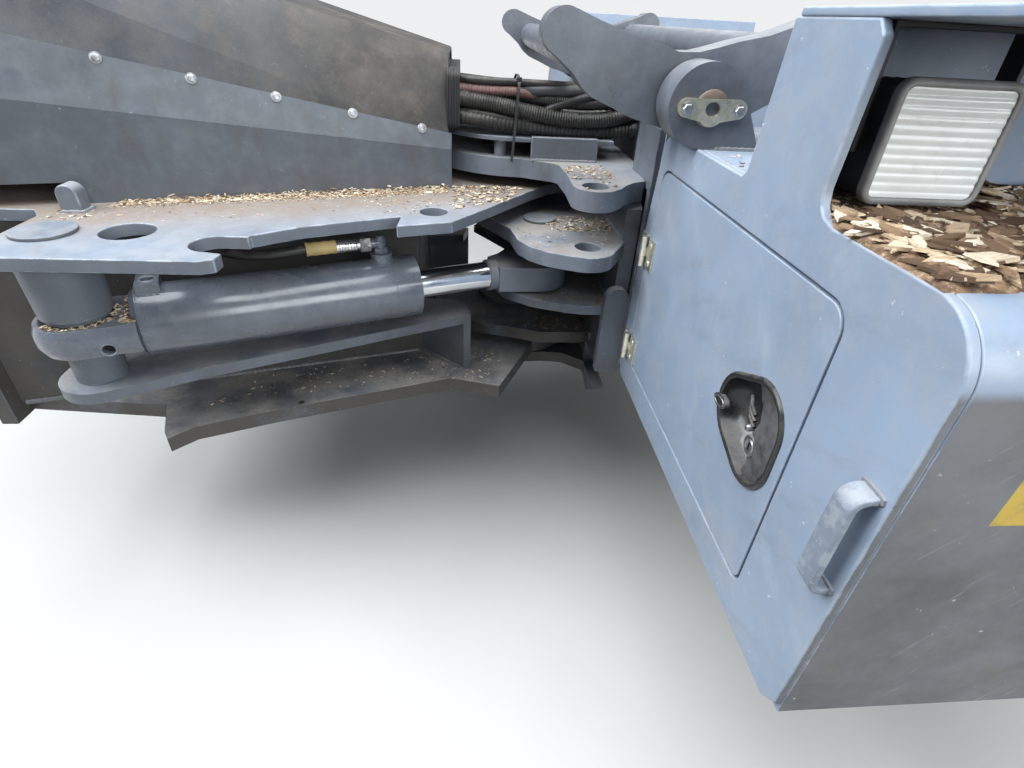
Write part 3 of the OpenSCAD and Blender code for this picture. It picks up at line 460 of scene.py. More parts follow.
def lens_glass(name):
    """Clear ribbed lens over a bright reflector, painted near white: painted brightness of the lit lens."""
    g = Graph(name)
    # Near-white base: painted brightness of the lit lens and its reflector
    haze = g.mix(g.patch(26, 6, 0.6, 0.3, 0.7), (0.86, 0.91, 0.90), (0.95, 0.985, 0.98))
    dirt = g.patch(70, 8, 0.7, 0.56, 0.76, 0.0, 0.5)
    haze = g.mix(dirt, haze, (0.45, 0.43, 0.38))
    relief = g.bump(g.noise(220, 4, 0.6), 0.12, 0.0005)
    return g.finish(haze, g.fit(dirt, 0, 0.5, 0.14, 0.4), relief, Transmission_Weight=0.12, IOR=1.45)


# The backdrop as the camera sees it, the light that it gives, the floor's tone in bounced light, and
# the distances over which the floor fades to the backdrop
BACKDROP = (0.97, 0.985, 1.0)
BACKDROP_STRENGTH = 0.88
AMBIENT_STRENGTH = 0.20
BOUNCED = (0.09, 0.09, 0.085)
FLOOR_NEAR, FLOOR_FAR = 1.7, 5.0


def floor_finish(name):
    """Pale floor: shown at full strength, but bouncing little light up at the object.

    Away from the object it fades to the backdrop's tone, where the lamps no longer reach it.
    """
    g = Graph(name)
    shown = g.mix(g.patch(1.6, 5, 0.5, 0.3, 0.7), (0.50, 0.50, 0.495), (0.53, 0.53, 0.525))
    rays = [g.node("ShaderNodeLightPath", f"Is {ray} Ray", {}) for ray in ("Camera", "Glossy", "Transmission")]
    seen = g.largest(*rays)
    fade = g.times(g.fit(g.vector_math("LENGTH", g.place), FLOOR_NEAR, FLOOR_FAR), seen)
    colour = g.mix(fade, g.mix(seen, BOUNCED, shown), (0, 0, 0))
    return g.finish(colour, 0.9, Specular_IOR_Level=0.1, Emission_Color=(*BACKDROP, 1),
                    Emission_Strength=g.times(fade, BACKDROP_STRENGTH))


FRAME_PAINT = (0.185, 0.225, 0.285)
MATERIALS = {
    "frame": paint("frame_paint", FRAME_PAINT, rough=0.44, dust=0.75, under=0.8, flank=0.50),
    "upper": paint("upper_plate_paint", FRAME_PAINT, rough=0.44, dust=0.5, under=0.8, flank=0.42, trail=True),
    # Lower plates: the frame paint a little darker, with the strongest painted shade on undersides and upright
    # faces
    "low": paint("lower_plate_paint", tinted(FRAME_PAINT, 0.92), rough=0.5, dust=1.0, grime=0.6, under=1.0,
                 flank=0.97),
    # Webs and rear end plate: the frame paint made much darker, painted shade deep behind the plates
    "web": paint("web_paint", tinted(FRAME_PAINT, 0.24), rough=0.55, dust=0.6, grime=0.8, under=0.9,
                 flank=0.85),
    # Darker rounded edges of the lower plates and webs: painted shade
    "low_edge": paint("lower_plate_edge", tinted(FRAME_PAINT, 0.70), rough=0.5, dust=0.5, grime=0.6,
                      under=0.8, flank=0.5),
    "frame_edge": paint("frame_paint_edge", FRAME_PAINT, rough=0.42, dust=0.3, edge=True),
    "cover": paint("cover_paint", (0.100, 0.122, 0.152), rough=0.42, dust=0.30, grime=0.6, flank=0.35),
    # Lighter copy of the cover paint on its rounded edges: worn paint and painted highlight
    "cover_edge": paint("cover_paint_edge", (0.145, 0.175, 0.220), rough=0.42, dust=0.2, edge=True),
    "cylinder": paint("cylinder_paint", (0.132, 0.154, 0.195), rough=0.24, dust=0.28, scuff=0.35, flank=0.15,
                      boss_rim_shade=True, coat=0.5),
    # Lighter copy of the cylinder paint on its rounded edges and port rings: worn paint and painted highlight
    "cylinder_edge": paint("cylinder_paint_edge", (0.18, 0.205, 0.25), rough=0.26, dust=0.2, flank=0.1,
                           edge=True),
    "cast": paint("cast_paint", (0.120, 0.135, 0.165), rough=0.36, dust=0.3, grime=0.25, scuff=0.25, flank=0.1),
    "pin": paint("pin_paint", tinted(FRAME_PAINT, 0.70), rough=0.5, dust=0.55, flank=0.6),
    "dusty": paint("dusty_frame_paint", FRAME_PAINT, rough=0.46, dust=1.0, grime=0.5, under=0.8, flank=0.35,
                   powdery=0.85),
    "weld": paint("weld_paint", (0.200, 0.218, 0.25), rough=0.45, dust=0.5, scuff=0.7, flank=0.3),
    "box": box_paint("box_paint"),
    "box_edge": box_paint("box_paint_edge", edge=True),
    "hood": hood_coat("hood_coat"),
    "zinc": metal("zinc_plate", (0.74, 0.74, 0.72), rough=0.30),
    "gold_zinc": metal("yellow_zinc", (0.70, 0.66, 0.50), rough=0.34, stained=0.5),
    "galvanised": metal("galvanised_hinge", (0.80, 0.79, 0.68), rough=0.34, stained=0.55),
    "bolt": metal("bolt_steel", (0.36, 0.37, 0.39), rough=0.34, stained=0.5),
    "rust": metal("rusty_pin_end", (0.30, 0.24, 0.20), rough=0.55, stained=0.7),
    "black": plastic("black_plastic", (0.026, 0.026, 0.028), 0.42, 0.45),
    "latch": plastic("latch_plastic", (0.022, 0.022, 0.024), 0.24, 0.38),
    "paddle": plastic("paddle_plastic", (0.098, 0.096, 0.102), 0.4, 0.9, mottle=0.9),
    "latch_dust": plastic("latch_dust", (0.36, 0.36, 0.37), 0.5, 0.3),
    "grey_hose": plastic("grey_hose", (0.060, 0.063, 0.070), 0.40, 0.45),
    "handle": paint("handle_paint", (0.200, 0.240, 0.300), rough=0.46, dust=0.5, scuff=0.8, flank=0.1,
                    edge=True),
    "rubber": plastic("hose_rubber", (0.022, 0.021, 0.021), 0.45, 0.35),
    "conduit": plastic("conduit_plastic", (0.030, 0.029, 0.028), 0.42, 0.40),
    "faded": plastic("faded_hose", (0.200, 0.115, 0.108), 0.6, 0.4),
    "sleeve": plastic("tan_sleeve", (0.62, 0.47, 0.20), 0.55, 0.2),
    "lamp": plastic("lamp_housing", (0.030, 0.030, 0.032), 0.5, 0.7),
    "bezel": plastic("lamp_bezel", (0.235, 0.24, 0.24), 0.4, 0.5),
    "bulb": plastic("lamp_bulb", (0.26, 0.20, 0.14), 0.3, 0.0),
    # Near black: painted shade inside holes, the key slot and the ear's loop
    "hole": plastic("dark_hole", (0.012, 0.011, 0.010), 0.8, 0.0),
    "lens": lens_glass("lens_glass"),
    "chips": chip_wood("wood_chips"),
    "litter": litter("bark_litter"),
    **{f"{side}_rod": rod_finish(f"{side}_rod_finish", side) for side in SIDES},
}


# Mesh building: each call adds to a bmesh in the row frame
WASHER_TOP = 0.002
BEVEL_ANGLE = math.radians(32)
SHARP_ANGLE = math.radians(40)
WELDED = 1e-6


def add_rings(bm, rings, close_ends=True):
    made = [[bm.verts.new(p) for p in ring] for ring in rings]
    count = len(made[0])
    for low, high in zip(made, made[1:]):
        for i in range(count):
            j = (i + 1) % count
            bm.faces.new((low[i], low[j], high[j], high[i]))
    if close_ends:
        bm.faces.new(reversed(made[0]))
        bm.faces.new(made[-1])


def cross_axes(direction):
    """Two directions square to the given one and to each other."""
    w = Vector(direction).normalized()
    u = Vector((0, 0, 1)).cross(w)
    if u.length < 0.2:
        u = Vector((1, 0, 0)).cross(w)
    u.normalize()
    return u, w.cross(u)


def round_angles(count, start=0.0, closed=False):
    """Evenly spread angles round a circle; a closed list ends where it began."""
    return [start + math.tau * k / count for k in range(count + closed)]


def add_lathe(bm, origin, axis, profile, sides=28, turn=0.0):
    """A turned solid: profile lists its height along the axis and its radius there."""
    w = Vector(axis).normalized()
    u, v = cross_axes(w)
    rings = []
    for height, radius in profile:
        centre = Vector(origin) + w * height
        rings.append([centre + radius * (u * math.cos(a) + v * math.sin(a)) for a in round_angles(sides, turn)])
    add_rings(bm, rings)


def add_hex_bolt(bm, origin, axis, size, washer, turn):
    """A hexagon head of the given radius on its washer, standing on a face at origin."""
    low = WASHER_TOP
    add_lathe(bm, origin, axis, [(-0.001, washer), (0.0015, washer), (low, washer * 0.94)])
    add_lathe(bm, origin, axis, [(low, size), (size * 0.62, size), (size * 0.72, size * 0.84)], 6, turn)
    add_lathe(bm, origin, axis, [(low, size * 0.80), (size * 0.74, size * 0.78), (size * 0.76, size * 0.70)])


def tube_rings(points, radius, sides):
    """Rings along a line of points; the section doesn't twist. radius is a number or a list."""
    rings, side = [], None
    for i, p in enumerate(points):
        ahead = points[min(i + 1, len(points) - 1)] - points[max(i - 1, 0)]
        w = ahead.normalized()
        if side is None:
            side = cross_axes(w)[0]
        side = (side - w * side.dot(w)).normalized()
        other = w.cross(side)
        r = radius[i] if isinstance(radius, list) else radius
        rings.append([p + r * (side * math.cos(a) + other * math.sin(a)) for a in round_angles(sides)])
    return rings


def add_tube(bm, points, radius, sides):
    add_rings(bm, tube_rings(points, radius, sides))


def add_shell(bm, rings):
    """A shell without ends: its last ring meets its first."""
    add_rings(bm, rings + rings[:1], close_ends=False)
    bmesh.ops.remove_doubles(bm, verts=bm.verts, dist=WELDED)


def add_grid_faces(bm, grid, flip=False):
    for line, beside in zip(grid, grid[1:]):
        for j in range(len(line) - 1):
            face = (line[j], beside[j], beside[j + 1], line[j + 1])
            bm.faces.new(reversed(face) if flip else face)


def add_prism(bm, outline, depth):
    """An outline of points, extruded by the vector depth."""
    depth = Vector(depth)
    add_rings(bm, [list(outline), [p + depth for p in outline]])


def add_block(bm, low, high):
    (x0, y0, z0), (x1, y1, z1) = low, high
    outline = [Vector(p) for p in ((x0, y0, z0), (x1, y0, z0), (x1, y1, z0), (x0, y1, z0))]
    add_prism(bm, outline, (0, 0, z1 - z0))


def rounded_rectangle(half_u, half_v, radius, steps=8):
    """Corner-rounded outline as (u, v) pairs round the middle, counter-clockwise."""
    points = []
    for cu, cv, start in ((1, 1, 0), (-1, 1, 90), (-1, -1, 180), (1, -1, 270)):
        for k in range(steps + 1):
            a = math.radians(start + 90 * k / steps)
            points.append((cu * (half_u - radius) + radius * math.cos(a),
                           cv * (half_v - radius) + radius * math.sin(a)))
    return points


def spread_points(corners, step):
    """Points along a line of corners, about a step apart."""
    points = []
    for a, b in zip(corners, corners[1:]):
        count = max(1, round((b - a).length / step))
        points += [a.lerp(b, k / count) for k in range(count)]
    return points + [corners[-1]]


def smooth_route(points, steps):
    """Points on a smooth curve through the given ones."""
    out = []
    for i in range(len(points) - 1):
        a, b = points[i], points[i + 1]
        before, after = points[max(i - 1, 0)], points[min(i + 2, len(points) - 1)]
        for k in range(steps):
            t = k / steps
            out.append(0.5 * (2 * a + (b - before) * t + (2 * before - 5 * a + 4 * b - after) * t * t
                              + (3 * a - before - 3 * b + after) * t ** 3))
    return out + [points[-1]]


def add_weld(bm, corners, size, seed):
    """A weld bead half sunk along a line of corners, rippled and a little uneven."""
    points = spread_points([Vector(c) for c in corners], 0.003)
    uneven = [noise.noise(Vector((seed * 7.3, i * 0.21, 0))) for i in range(len(points))]
    radii = [size * (1 + 0.13 * math.sin(i * 1.9) + 0.25 * u) for i, u in enumerate(uneven)]
    radii[0] = radii[-1] = size * 0.3
    add_tube(bm, points, radii, 8)


def flip_to_far(bm):
    bmesh.ops.scale(bm, vec=(1, -1, 1), verts=bm.verts)
    bmesh.ops.reverse_faces(bm, faces=bm.faces)


def piece(name, bm, material, body, slot, bevel=0.0, ride=True, solid=True):
    """Turns a bmesh into a named piece that rides on a body. An open sheet keeps the way it faces."""
    if solid:
        bmesh.ops.recalc_face_normals(bm, faces=bm.faces)
    made = mesh_object(name, bm)
    mesh = made.data
    mesh.materials.append(MATERIALS[material])
    mesh.shade_smooth()
    if bevel:
        add_bevel(made, bevel, 2)
    else:
        mesh.set_sharp_from_angle(angle=SHARP_ANGLE)
    if ride:
        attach(made, body)
    return made


def add_bevel(made, width, segments, material=-1):
    bevel = made.modifiers.new("rounded edges", "BEVEL")
    bevel.width = width
    bevel.segments = segments
    bevel.limit_method = "ANGLE"
    bevel.angle_limit = BEVEL_ANGLE
    bevel.miter_outer = "MITER_ARC"
    bevel.material = material
    even = made.modifiers.new("even shading", "WEIGHTED_NORMAL")
    even.weight = 60


def on_both_sides(name, build, material, body, slot, **how):
    """Builds a piece for the near side and its mirror image for the far side."""
    made = []
    for side in SIDES:
        bm = bmesh.new()
        build(bm, side)
        if side == "far":
            flip_to_far(bm)
        made.append(piece(f"{side}_{name}", bm, material, body.format(side=side), slot, **how))
    return made


def dress(name, surface, edge, width, segments):
    """Gives a CAD node its materials and rounds its edges."""
    node = frame["nodes"][name]
    node.data.materials.clear()
    node.data.materials.append(MATERIALS[surface])
    node.data.materials.append(MATERIALS[edge])
    weld = node.modifiers.new("joined corners", "WELD")
    weld.merge_threshold = 0.00001
    flat = node.modifiers.new("flat faces", "DECIMATE")
    flat.decimate_type = "DISSOLVE"
    flat.angle_limit = math.radians(0.4)
    add_bevel(node, width, segments, material=1)


# CAD nodes that share a finish: names, materials of surface and edges, edge radius and its steps
DRESSING = (
    ("shelves front_end_plate front_beam front_flange hose_carrier cover_lugs base_bosses",
     "frame", "frame_edge", 0.0022, 2),
    ("front_top_arm rod_clevis_plate rod_lug_plate", "dusty", "frame_edge", 0.0022, 2),
    ("rear_upper_plate", "upper", "frame_edge", 0.0022, 2),
    ("rear_lower_plate front_lower_arm front_bottom_arm", "low", "low_edge", 0.0022, 2),
    ("rear_end_plate rear_webs", "web", "low_edge", 0.0022, 2),
    ("near_side_cover far_side_cover", "cover", "cover_edge", 0.0014, 2),
    ("near_barrel far_barrel", "cylinder", "cylinder_edge", 0.0030, 3),
    ("near_rod", "near_rod", "near_rod", 0.0030, 3),
    ("far_rod", "far_rod", "far_rod", 0.0030, 3),
    ("near_box_front far_box_front", "box", "box_edge", 0.0026, 3),
    ("near_box_body far_box_body", "box", "box_edge", 0.0016, 2),
    ("near_deck far_deck", "box", "box_edge", 0.0020, 2),
    ("near_door far_door", "box", "box_edge", 0.0014, 2),
    ("near_door_leaves far_door_leaves door_hinges", "galvanised", "galvanised", 0.0006, 2),
    ("base_pins hinge_pins rod_pin_heads", "pin", "pin", 0.0012, 2),
    ("hood", "hood", "hood", 0.0030, 3),
    ("cradle_bearings", "cast", "frame_edge", 0.0040, 3),
    ("cradle", "cast", "cast", 0.0075, 4),
    ("lamp_brackets", "lamp", "lamp", 0.0010, 2),
    ("rear_hose_plate front_hose_plate", "black", "black", 0.0010, 2),
)


def dress_frame():
    for names, *finish in DRESSING:
        for name in names.split():
            dress(name, *finish)


# The cover's front end at its fold, and the fold's rise to the rear. Band bolts: distance of the
# first from that end, pitch, rise over the fold, and the radii of head and washer
COVER_FRONT = at(-0.142, -0.207, 0.245)
COVER_RISE = 0.1222
BOLT_FIRST = 0.058
BOLT_PITCH = 0.1263
BOLT_COUNT = 7
BOLT_RISE = 0.031
BOLT_RISE_GAIN = 0.0871
BAND_LEAN = math.radians(19)
BOLT_R = (0.0062, 0.0086)


def band_axes():
    """Directions along the fold to the rear, up the band and out of it."""
    along = Vector((-1, -COVER_SLOPE, COVER_RISE)).normalized()
    out = Vector((COVER_SLOPE, -1, 0)).normalized()
    up = (Vector((0, 0, 1)) * math.cos(BAND_LEAN) - out * math.sin(BAND_LEAN))
    up = (up - along * up.dot(along)).normalized()
    across = up.cross(along)
    return along, up, across if across.dot(out) > 0 else -across


def build_band_bolts(bm, side):
    along, up, out = band_axes()
    for k in range(BOLT_COUNT):
        reach = BOLT_FIRST + k * BOLT_PITCH
        rise = BOLT_RISE + (reach - BOLT_FIRST) * BOLT_RISE_GAIN
        add_hex_bolt(bm, COVER_FRONT + along * reach + up * rise, out, *BOLT_R, 0.4 * k)


# Hoses over the hinge. Each has its radius, its kind, and places on its way as a share of the span
# from the rear plate to the front one, a side and a height. A conduit is corrugated
HOSE_TABLE = (
    (0.0150, "conduit", ((0, -0.100, 0.330), (0.22, -0.160, 0.330), (0.38, -0.178, 0.324), (0.52, -0.184, 0.313),
                         (0.68, -0.185, 0.303), (0.84, -0.178, 0.304), (1, -0.150, 0.318))),
    (0.0090, "faded", ((0, -0.085, 0.347), (0.25, -0.158, 0.348), (0.45, -0.180, 0.347),
                       (0.58, -0.165, 0.340), (0.8, -0.130, 0.334), (1, -0.110, 0.330))),
    (0.0105, "grey_hose", ((0, -0.060, 0.350), (0.30, -0.135, 0.346), (0.5, -0.172, 0.350),
                           (0.7, -0.176, 0.352), (0.85, -0.165, 0.361), (1, -0.150, 0.368))),
    (0.0068, "rubber", ((0, -0.090, 0.363), (0.3, -0.172, 0.3625), (0.5, -0.178, 0.362),
                        (0.7, -0.172, 0.360), (1, -0.130, 0.352))),
    (0.0115, "conduit", ((0, -0.055, 0.322), (0.3, -0.130, 0.318), (0.48, -0.158, 0.332), (0.62, -0.176, 0.334),
                         (0.75, -0.178, 0.330), (0.88, -0.172, 0.336), (1, -0.140, 0.346))),
    (0.0095, "conduit", ((0, -0.080, 0.342), (0.22, -0.140, 0.341), (0.36, -0.168, 0.338),
                         (0.50, -0.166, 0.343), (0.66, -0.150, 0.344), (1, -0.120, 0.338))),
    (0.0080, "rubber", ((0, -0.112, 0.309), (0.3, -0.172, 0.306), (0.5, -0.180, 0.298), (0.62, -0.184, 0.322),
                        (0.78, -0.182, 0.345), (0.9, -0.170, 0.352), (1, -0.150, 0.350))),
    (0.0140, "conduit", ((0, -0.112, 0.299), (0.25, -0.168, 0.298), (0.5, -0.176, 0.289),
                         (0.75, -0.176, 0.281), (1, -0.150, 0.284))),
    (0.0135, "rubber", ((0, -0.075, 0.293), (0.3, -0.140, 0.292), (0.5, -0.150, 0.286),
                        (0.8, -0.150, 0.288), (1, -0.118, 0.290))),
    (0.0150, "conduit", ((0, -0.045, 0.292), (0.5, -0.105, 0.288), (1, -0.080, 0.290))),
    (0.0115, "rubber", ((0, -0.035, 0.352), (0.4, -0.110, 0.352), (0.7, -0.140, 0.350), (1, -0.115, 0.352))),
    (0.0100, "rubber", ((0, -0.050, 0.362), (0.4, -0.130, 0.355), (0.7, -0.146, 0.356), (1, -0.120, 0.368))),
    (0.0150, "conduit", ((0, -0.020, 0.322), (0.5, -0.070, 0.320), (1, -0.060, 0.322))),
    (0.0150, "conduit", ((0, 0.012, 0.290), (0.5, 0.012, 0.287), (1, 0.000, 0.290))),
    (0.0140, "rubber", ((0, 0.054, 0.290), (0.5, 0.056, 0.287), (1, 0.050, 0.290))),
    (0.0150, "conduit", ((0, 0.034, 0.322), (0.5, 0.036, 0.319), (1, 0.030, 0.322))),
)
HOSE_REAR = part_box("rear_hose_plate")[1].x - PIVOT_X
HOSE_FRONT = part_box("front_hose_plate")[0].x - PIVOT_X
# Ribbed kinds: four rings, a step apart, make a rib and its groove, as deep as said on a hose of
# RIB_RADIUS. The others take longer steps
RIBBED = ("conduit", "faded")
RIB_STEP = 0.0010
RIB_DEPTH = 0.0013
RIB_RADIUS = 0.015
RIB_SHAPE = (0.0, 0.0, -RIB_DEPTH, -RIB_DEPTH)
SMOOTH_STEP = 0.008


def hose_line(places, step):
    """Points a step apart on a smooth curve through a hose's places."""
    way = smooth_route([at(HOSE_REAR + (HOSE_FRONT - HOSE_REAR) * t, y, z) for t, y, z in places], 60)
    points, gone = [way[0]], 0.0
    for a, b in zip(way, way[1:]):
        gone += (b - a).length
        if gone >= step:
            points.append(b)
            gone -= step
    return points


def build_hoses():
    first = None
    for kind in ("conduit", "rubber", "faded", "grey_hose"):
        bm = bmesh.new()
        for radius, hose_kind, places in HOSE_TABLE:
            if hose_kind != kind:
                continue
            if kind in RIBBED:
                points = hose_line(places, RIB_STEP)
                radii = [radius + RIB_SHAPE[i % 4] * radius / RIB_RADIUS for i in range(len(points))]
                add_tube(bm, points, radii, 16)
            else:
                add_tube(bm, hose_line(places, SMOOTH_STEP), radius, 16)
        made = piece(f"joint_hoses_{kind}", bm, kind, None, "hose_rubber", ride=False)
        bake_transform(made)
        first = first or made
    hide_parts("joint_hoses")
    for end, body, x, way in (("rear", "rear_frame", HOSE_REAR, 1), ("front", "front_frame", HOSE_FRONT, -1)):
        bm = bmesh.new()
        for r, _, places in HOSE_TABLE:
            _, side, high = places[0] if way > 0 else places[-1]
            collar = [(0, r + 0.003), (0.010, r + 0.003), (0.013, r + 0.0015)]
            add_lathe(bm, at(x, side, high), (way, 0, 0), collar, 20)
        piece(f"hose_collars_{end}", bm, "black", body, "black_plastic")


# Black clamp round the bundle at the hood's mouth: its span along x, its lowest and highest corner
# as sides and heights, its wall and ribs, and the radius of its outer and inner corners
CLAMP_X = (-0.150, -0.126)
CLAMP_LOW = (-0.185, CARRIER_TOP + 0.002)
CLAMP_HIGH = (0.085, 0.379)
CLAMP_WALL = 0.005
CLAMP_RIBS = 5
CLAMP_RIB_HIGH = 0.0016
CLAMP_CORNER = (0.016, 0.012)


def frame_outline(low, high, radius, x):
    half = ((high[0] - low[0]) / 2, (high[1] - low[1]) / 2)
    middle = ((high[0] + low[0]) / 2, (high[1] + low[1]) / 2)
    return [at(x, middle[0] + u, middle[1] + v) for u, v in rounded_rectangle(*half, radius)]


def build_clamp():
    bm = bmesh.new()
    rings = []
    steps = CLAMP_RIBS * 4
    for i in range(steps + 1):
        grow = CLAMP_RIB_HIGH if i % 4 in (1, 2) else 0.0
        x = CLAMP_X[0] + (CLAMP_X[1] - CLAMP_X[0]) * i / steps
        low, high = [c - grow for c in CLAMP_LOW], [c + grow for c in CLAMP_HIGH]
        rings.append(frame_outline(low, high, CLAMP_CORNER[0], x))
    inner_low = [c + CLAMP_WALL for c in CLAMP_LOW]
    inner_high = [c - CLAMP_WALL for c in CLAMP_HIGH]
    for x in (CLAMP_X[1], CLAMP_X[0]):
        rings.append(frame_outline(inner_low, inner_high, CLAMP_CORNER[1], x))
    add_shell(bm, rings)
    piece("hose_clamp", bm, "black", "rear_frame", "black_plastic")


# Thin tie round the bundle, with its tail hanging over the carrier: the corners' sides and heights,
# how it leans forward with height, and where on it the head sits
TIE_X = -0.019
TIE_WIDTH = 0.0048
TIE_THICK = 0.0016
TIE_LEAN = 0.004 / 0.07
TIE_HEAD_AT = 18
TIE_HEAD_HALF = Vector((0.0048, 0.0035, 0.0045))
TIE_CORNERS = ((-0.199, 0.224), (-0.200, 0.268), (-0.1985, 0.300), (-0.1985, 0.328), (-0.1925, 0.360),
               (-0.180, 0.3700), (-0.150, 0.3715), (-0.115, 0.3705), (-0.085, 0.3600))


def build_tie():
    bm = bmesh.new()
    smooth = smooth_route([at(TIE_X + TIE_LEAN * (z - 0.3), y, z) for y, z in TIE_CORNERS], 4)
    rings = []
    for i, p in enumerate(smooth):
        w = (smooth[min(i + 1, len(smooth) - 1)] - smooth[max(i - 1, 0)]).normalized()
        out = Vector((1, 0, 0)).cross(w).normalized() * TIE_THICK / 2
        wide = Vector((TIE_WIDTH / 2, 0, 0))
        rings.append([p - wide - out, p + wide - out, p + wide + out, p - wide + out])
    add_rings(bm, rings)
    add_block(bm, smooth[TIE_HEAD_AT] - TIE_HEAD_HALF, smooth[TIE_HEAD_AT] + TIE_HEAD_HALF)
    made = piece("hose_tie", bm, "black", None, "black_plastic", ride=False)
    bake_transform(made)


def on_cylinder(station, out=0.0, high=0.0):
    """A point by its station, its distance to the near side and its height over the axis."""
    return BASE_PIN + CYL_WAY * station + CYL_SIDE * out + Vector((0, 0, high))


# Barrel and eye, the rear port, and the axis of the elbow's arm over the cylinder's
BARREL_R = 0.059
EYE_FACE = 0.066
PORT_STATION = 0.483
PORT_TOP = 0.074
ARM_HIGH = 0.092


def build_elbow(bm, side):
    foot = on_cylinder(PORT_STATION, 0, PORT_TOP)
    up = Vector((0, 0, 1))
    add_lathe(bm, foot, up, [(-0.001, 0.0135), (0.009, 0.0135), (0.010, 0.012)], 6, 0.3)
    add_lathe(bm, foot, up, [(0.0, 0.0095), (0.027, 0.0095), (0.031, 0.0075), (0.033, 0.004)], 20)
    arm = on_cylinder(PORT_STATION, 0, ARM_HIGH)
    add_lathe(bm, arm, -CYL_WAY, [(0.0, 0.0095), (0.020, 0.0095)], 20)


def build_crimp(bm, side):
    nut = on_cylinder(PORT_STATION - 0.018, 0, ARM_HIGH)
    add_lathe(bm, nut, -CYL_WAY, [(0, 0.0125), (0.001, 0.0138), (0.018, 0.0138), (0.020, 0.0120)], 6)
    add_lathe(bm, nut, -CYL_WAY, [(0.018, 0.0085), (0.026, 0.0085)], 20)
    rings = [(0.024, 0.0100)]
    for k in range(7):
        rings += [(0.026 + k * 0.0052, 0.0112), (0.0296 + k * 0.0052, 0.0112), (0.0304 + k * 0.0052, 0.0102)]
    rings.append((0.0640, 0.0098))
    add_lathe(bm, nut, -CYL_WAY, rings, 24)


# Supply hose: stations where its sleeve begins and ends, and places of its way for on_cylinder
HOSE_R = 0.0090
SLEEVE_SPAN = (0.404, 0.352)
SLEEVE_STEPS = 10
SUPPLY_ROUTE = ((0.404, 0.0, 0.092), (0.352, 0.0, 0.093), (0.318, 0.0, 0.091), (0.288, -0.006, 0.088),
                (0.258, -0.020, 0.086), (0.228, -0.042, 0.086), (0.200, -0.072, 0.087),
                (0.178, -0.108, 0.088), (0.164, -0.146, 0.088), (0.1580, -0.1755, 0.088))


def build_supply_hose(bm, side):
    route = smooth_route([on_cylinder(*p) for p in SUPPLY_ROUTE], 5)
    add_tube(bm, route, HOSE_R, 16)


def build_sleeve(bm, side):
    start, end = SLEEVE_SPAN
    points = [on_cylinder(start + (end - start) * k / SLEEVE_STEPS, 0, ARM_HIGH + 0.0005)
              for k in range(SLEEVE_STEPS + 1)]
    radii = [0.0118 + 0.0005 * math.sin(k * 2.1) for k in range(SLEEVE_STEPS + 1)]
    add_tube(bm, points, radii, 20)


def build_bulkhead(bm, side):
    end = on_cylinder(*SUPPLY_ROUTE[-1])
    way = (end - on_cylinder(*SUPPLY_ROUTE[-2])).normalized()
    add_lathe(bm, end - way * 0.014, way, [(0, 0.0105), (0.004, 0.0140), (0.018, 0.0140), (0.022, 0.013)], 6)
    add_lathe(bm, end - way * 0.036, way, [(0, 0.0098), (0.002, 0.0110), (0.024, 0.0110)], 20)


# Open port in the block and grease hole in the eye: places for on_cylinder, and radii
PORT_HOLE = (0.105, 0, 0.071)
PORT_HOLE_R = 0.0095
GREASE_HOLE = (0.036, EYE_FACE, -0.011)
GREASE_HOLE_R = 0.009


def build_cylinder_holes(bm, side):
    """Near-black floors of the open port in the block and of the grease hole in the eye: painted shade deep in the
    holes.
    """
    port_floor = on_cylinder(PORT_HOLE[0], 0, 0.0560)
    grease_floor = on_cylinder(GREASE_HOLE[0], GREASE_HOLE[1] - 0.0132, GREASE_HOLE[2])
    for place, way, r in ((port_floor, (0, 0, 1), PORT_HOLE_R), (grease_floor, CYL_SIDE, GREASE_HOLE_R)):
        add_lathe(bm, place, way, [(-0.0005, r - 0.0001), (0, r - 0.0001)], 24)


def build_port_rings(bm, side):
    for place, way, r, size in ((on_cylinder(*PORT_HOLE), (0, 0, 1), PORT_HOLE_R + 0.0022, 0.0014),
                                (on_cylinder(*GREASE_HOLE), CYL_SIDE, GREASE_HOLE_R + 0.0008, 0.0012)):
        u, v = cross_axes(way)
        circle = [place + (r * math.cos(a)) * u + (r * math.sin(a)) * v for a in round_angles(28, closed=True)]
        add_tube(bm, circle, size, 6)


# Welds of the cylinder: stations and sizes of its rings, the port's foot and the block's corners
RING_WELDS = ((0.0838, 0.0022), (0.4965, 0.0016))
PORT_FOOT_R = 0.020
BLOCK_WELD = ((0.087, 0.024), (0.123, 0.024), (0.123, -0.024), (0.087, -0.024))


def build_cylinder_welds(bm, side):
    """Ring beads round the barrel's ends and round the feet of its ports."""
    r = BARREL_R - 0.001
    for station, size in RING_WELDS:
        ring = [on_cylinder(station, r * math.cos(a), r * math.sin(a)) for a in round_angles(40, closed=True)]
        add_weld(bm, ring, size, station * 50)
    foot = [on_cylinder(PORT_STATION + PORT_FOOT_R * math.cos(a), PORT_FOOT_R * math.sin(a),
                        math.sqrt(BARREL_R ** 2 - (PORT_FOOT_R * math.sin(a)) ** 2))
            for a in round_angles(24, closed=True)]
    add_weld(bm, foot, 0.0028, 4)
    block = [on_cylinder(station, out, math.sqrt(BARREL_R ** 2 - out * out) - 0.001)
             for station, out in BLOCK_WELD]
    add_weld(bm, block, 0.0026, 5)


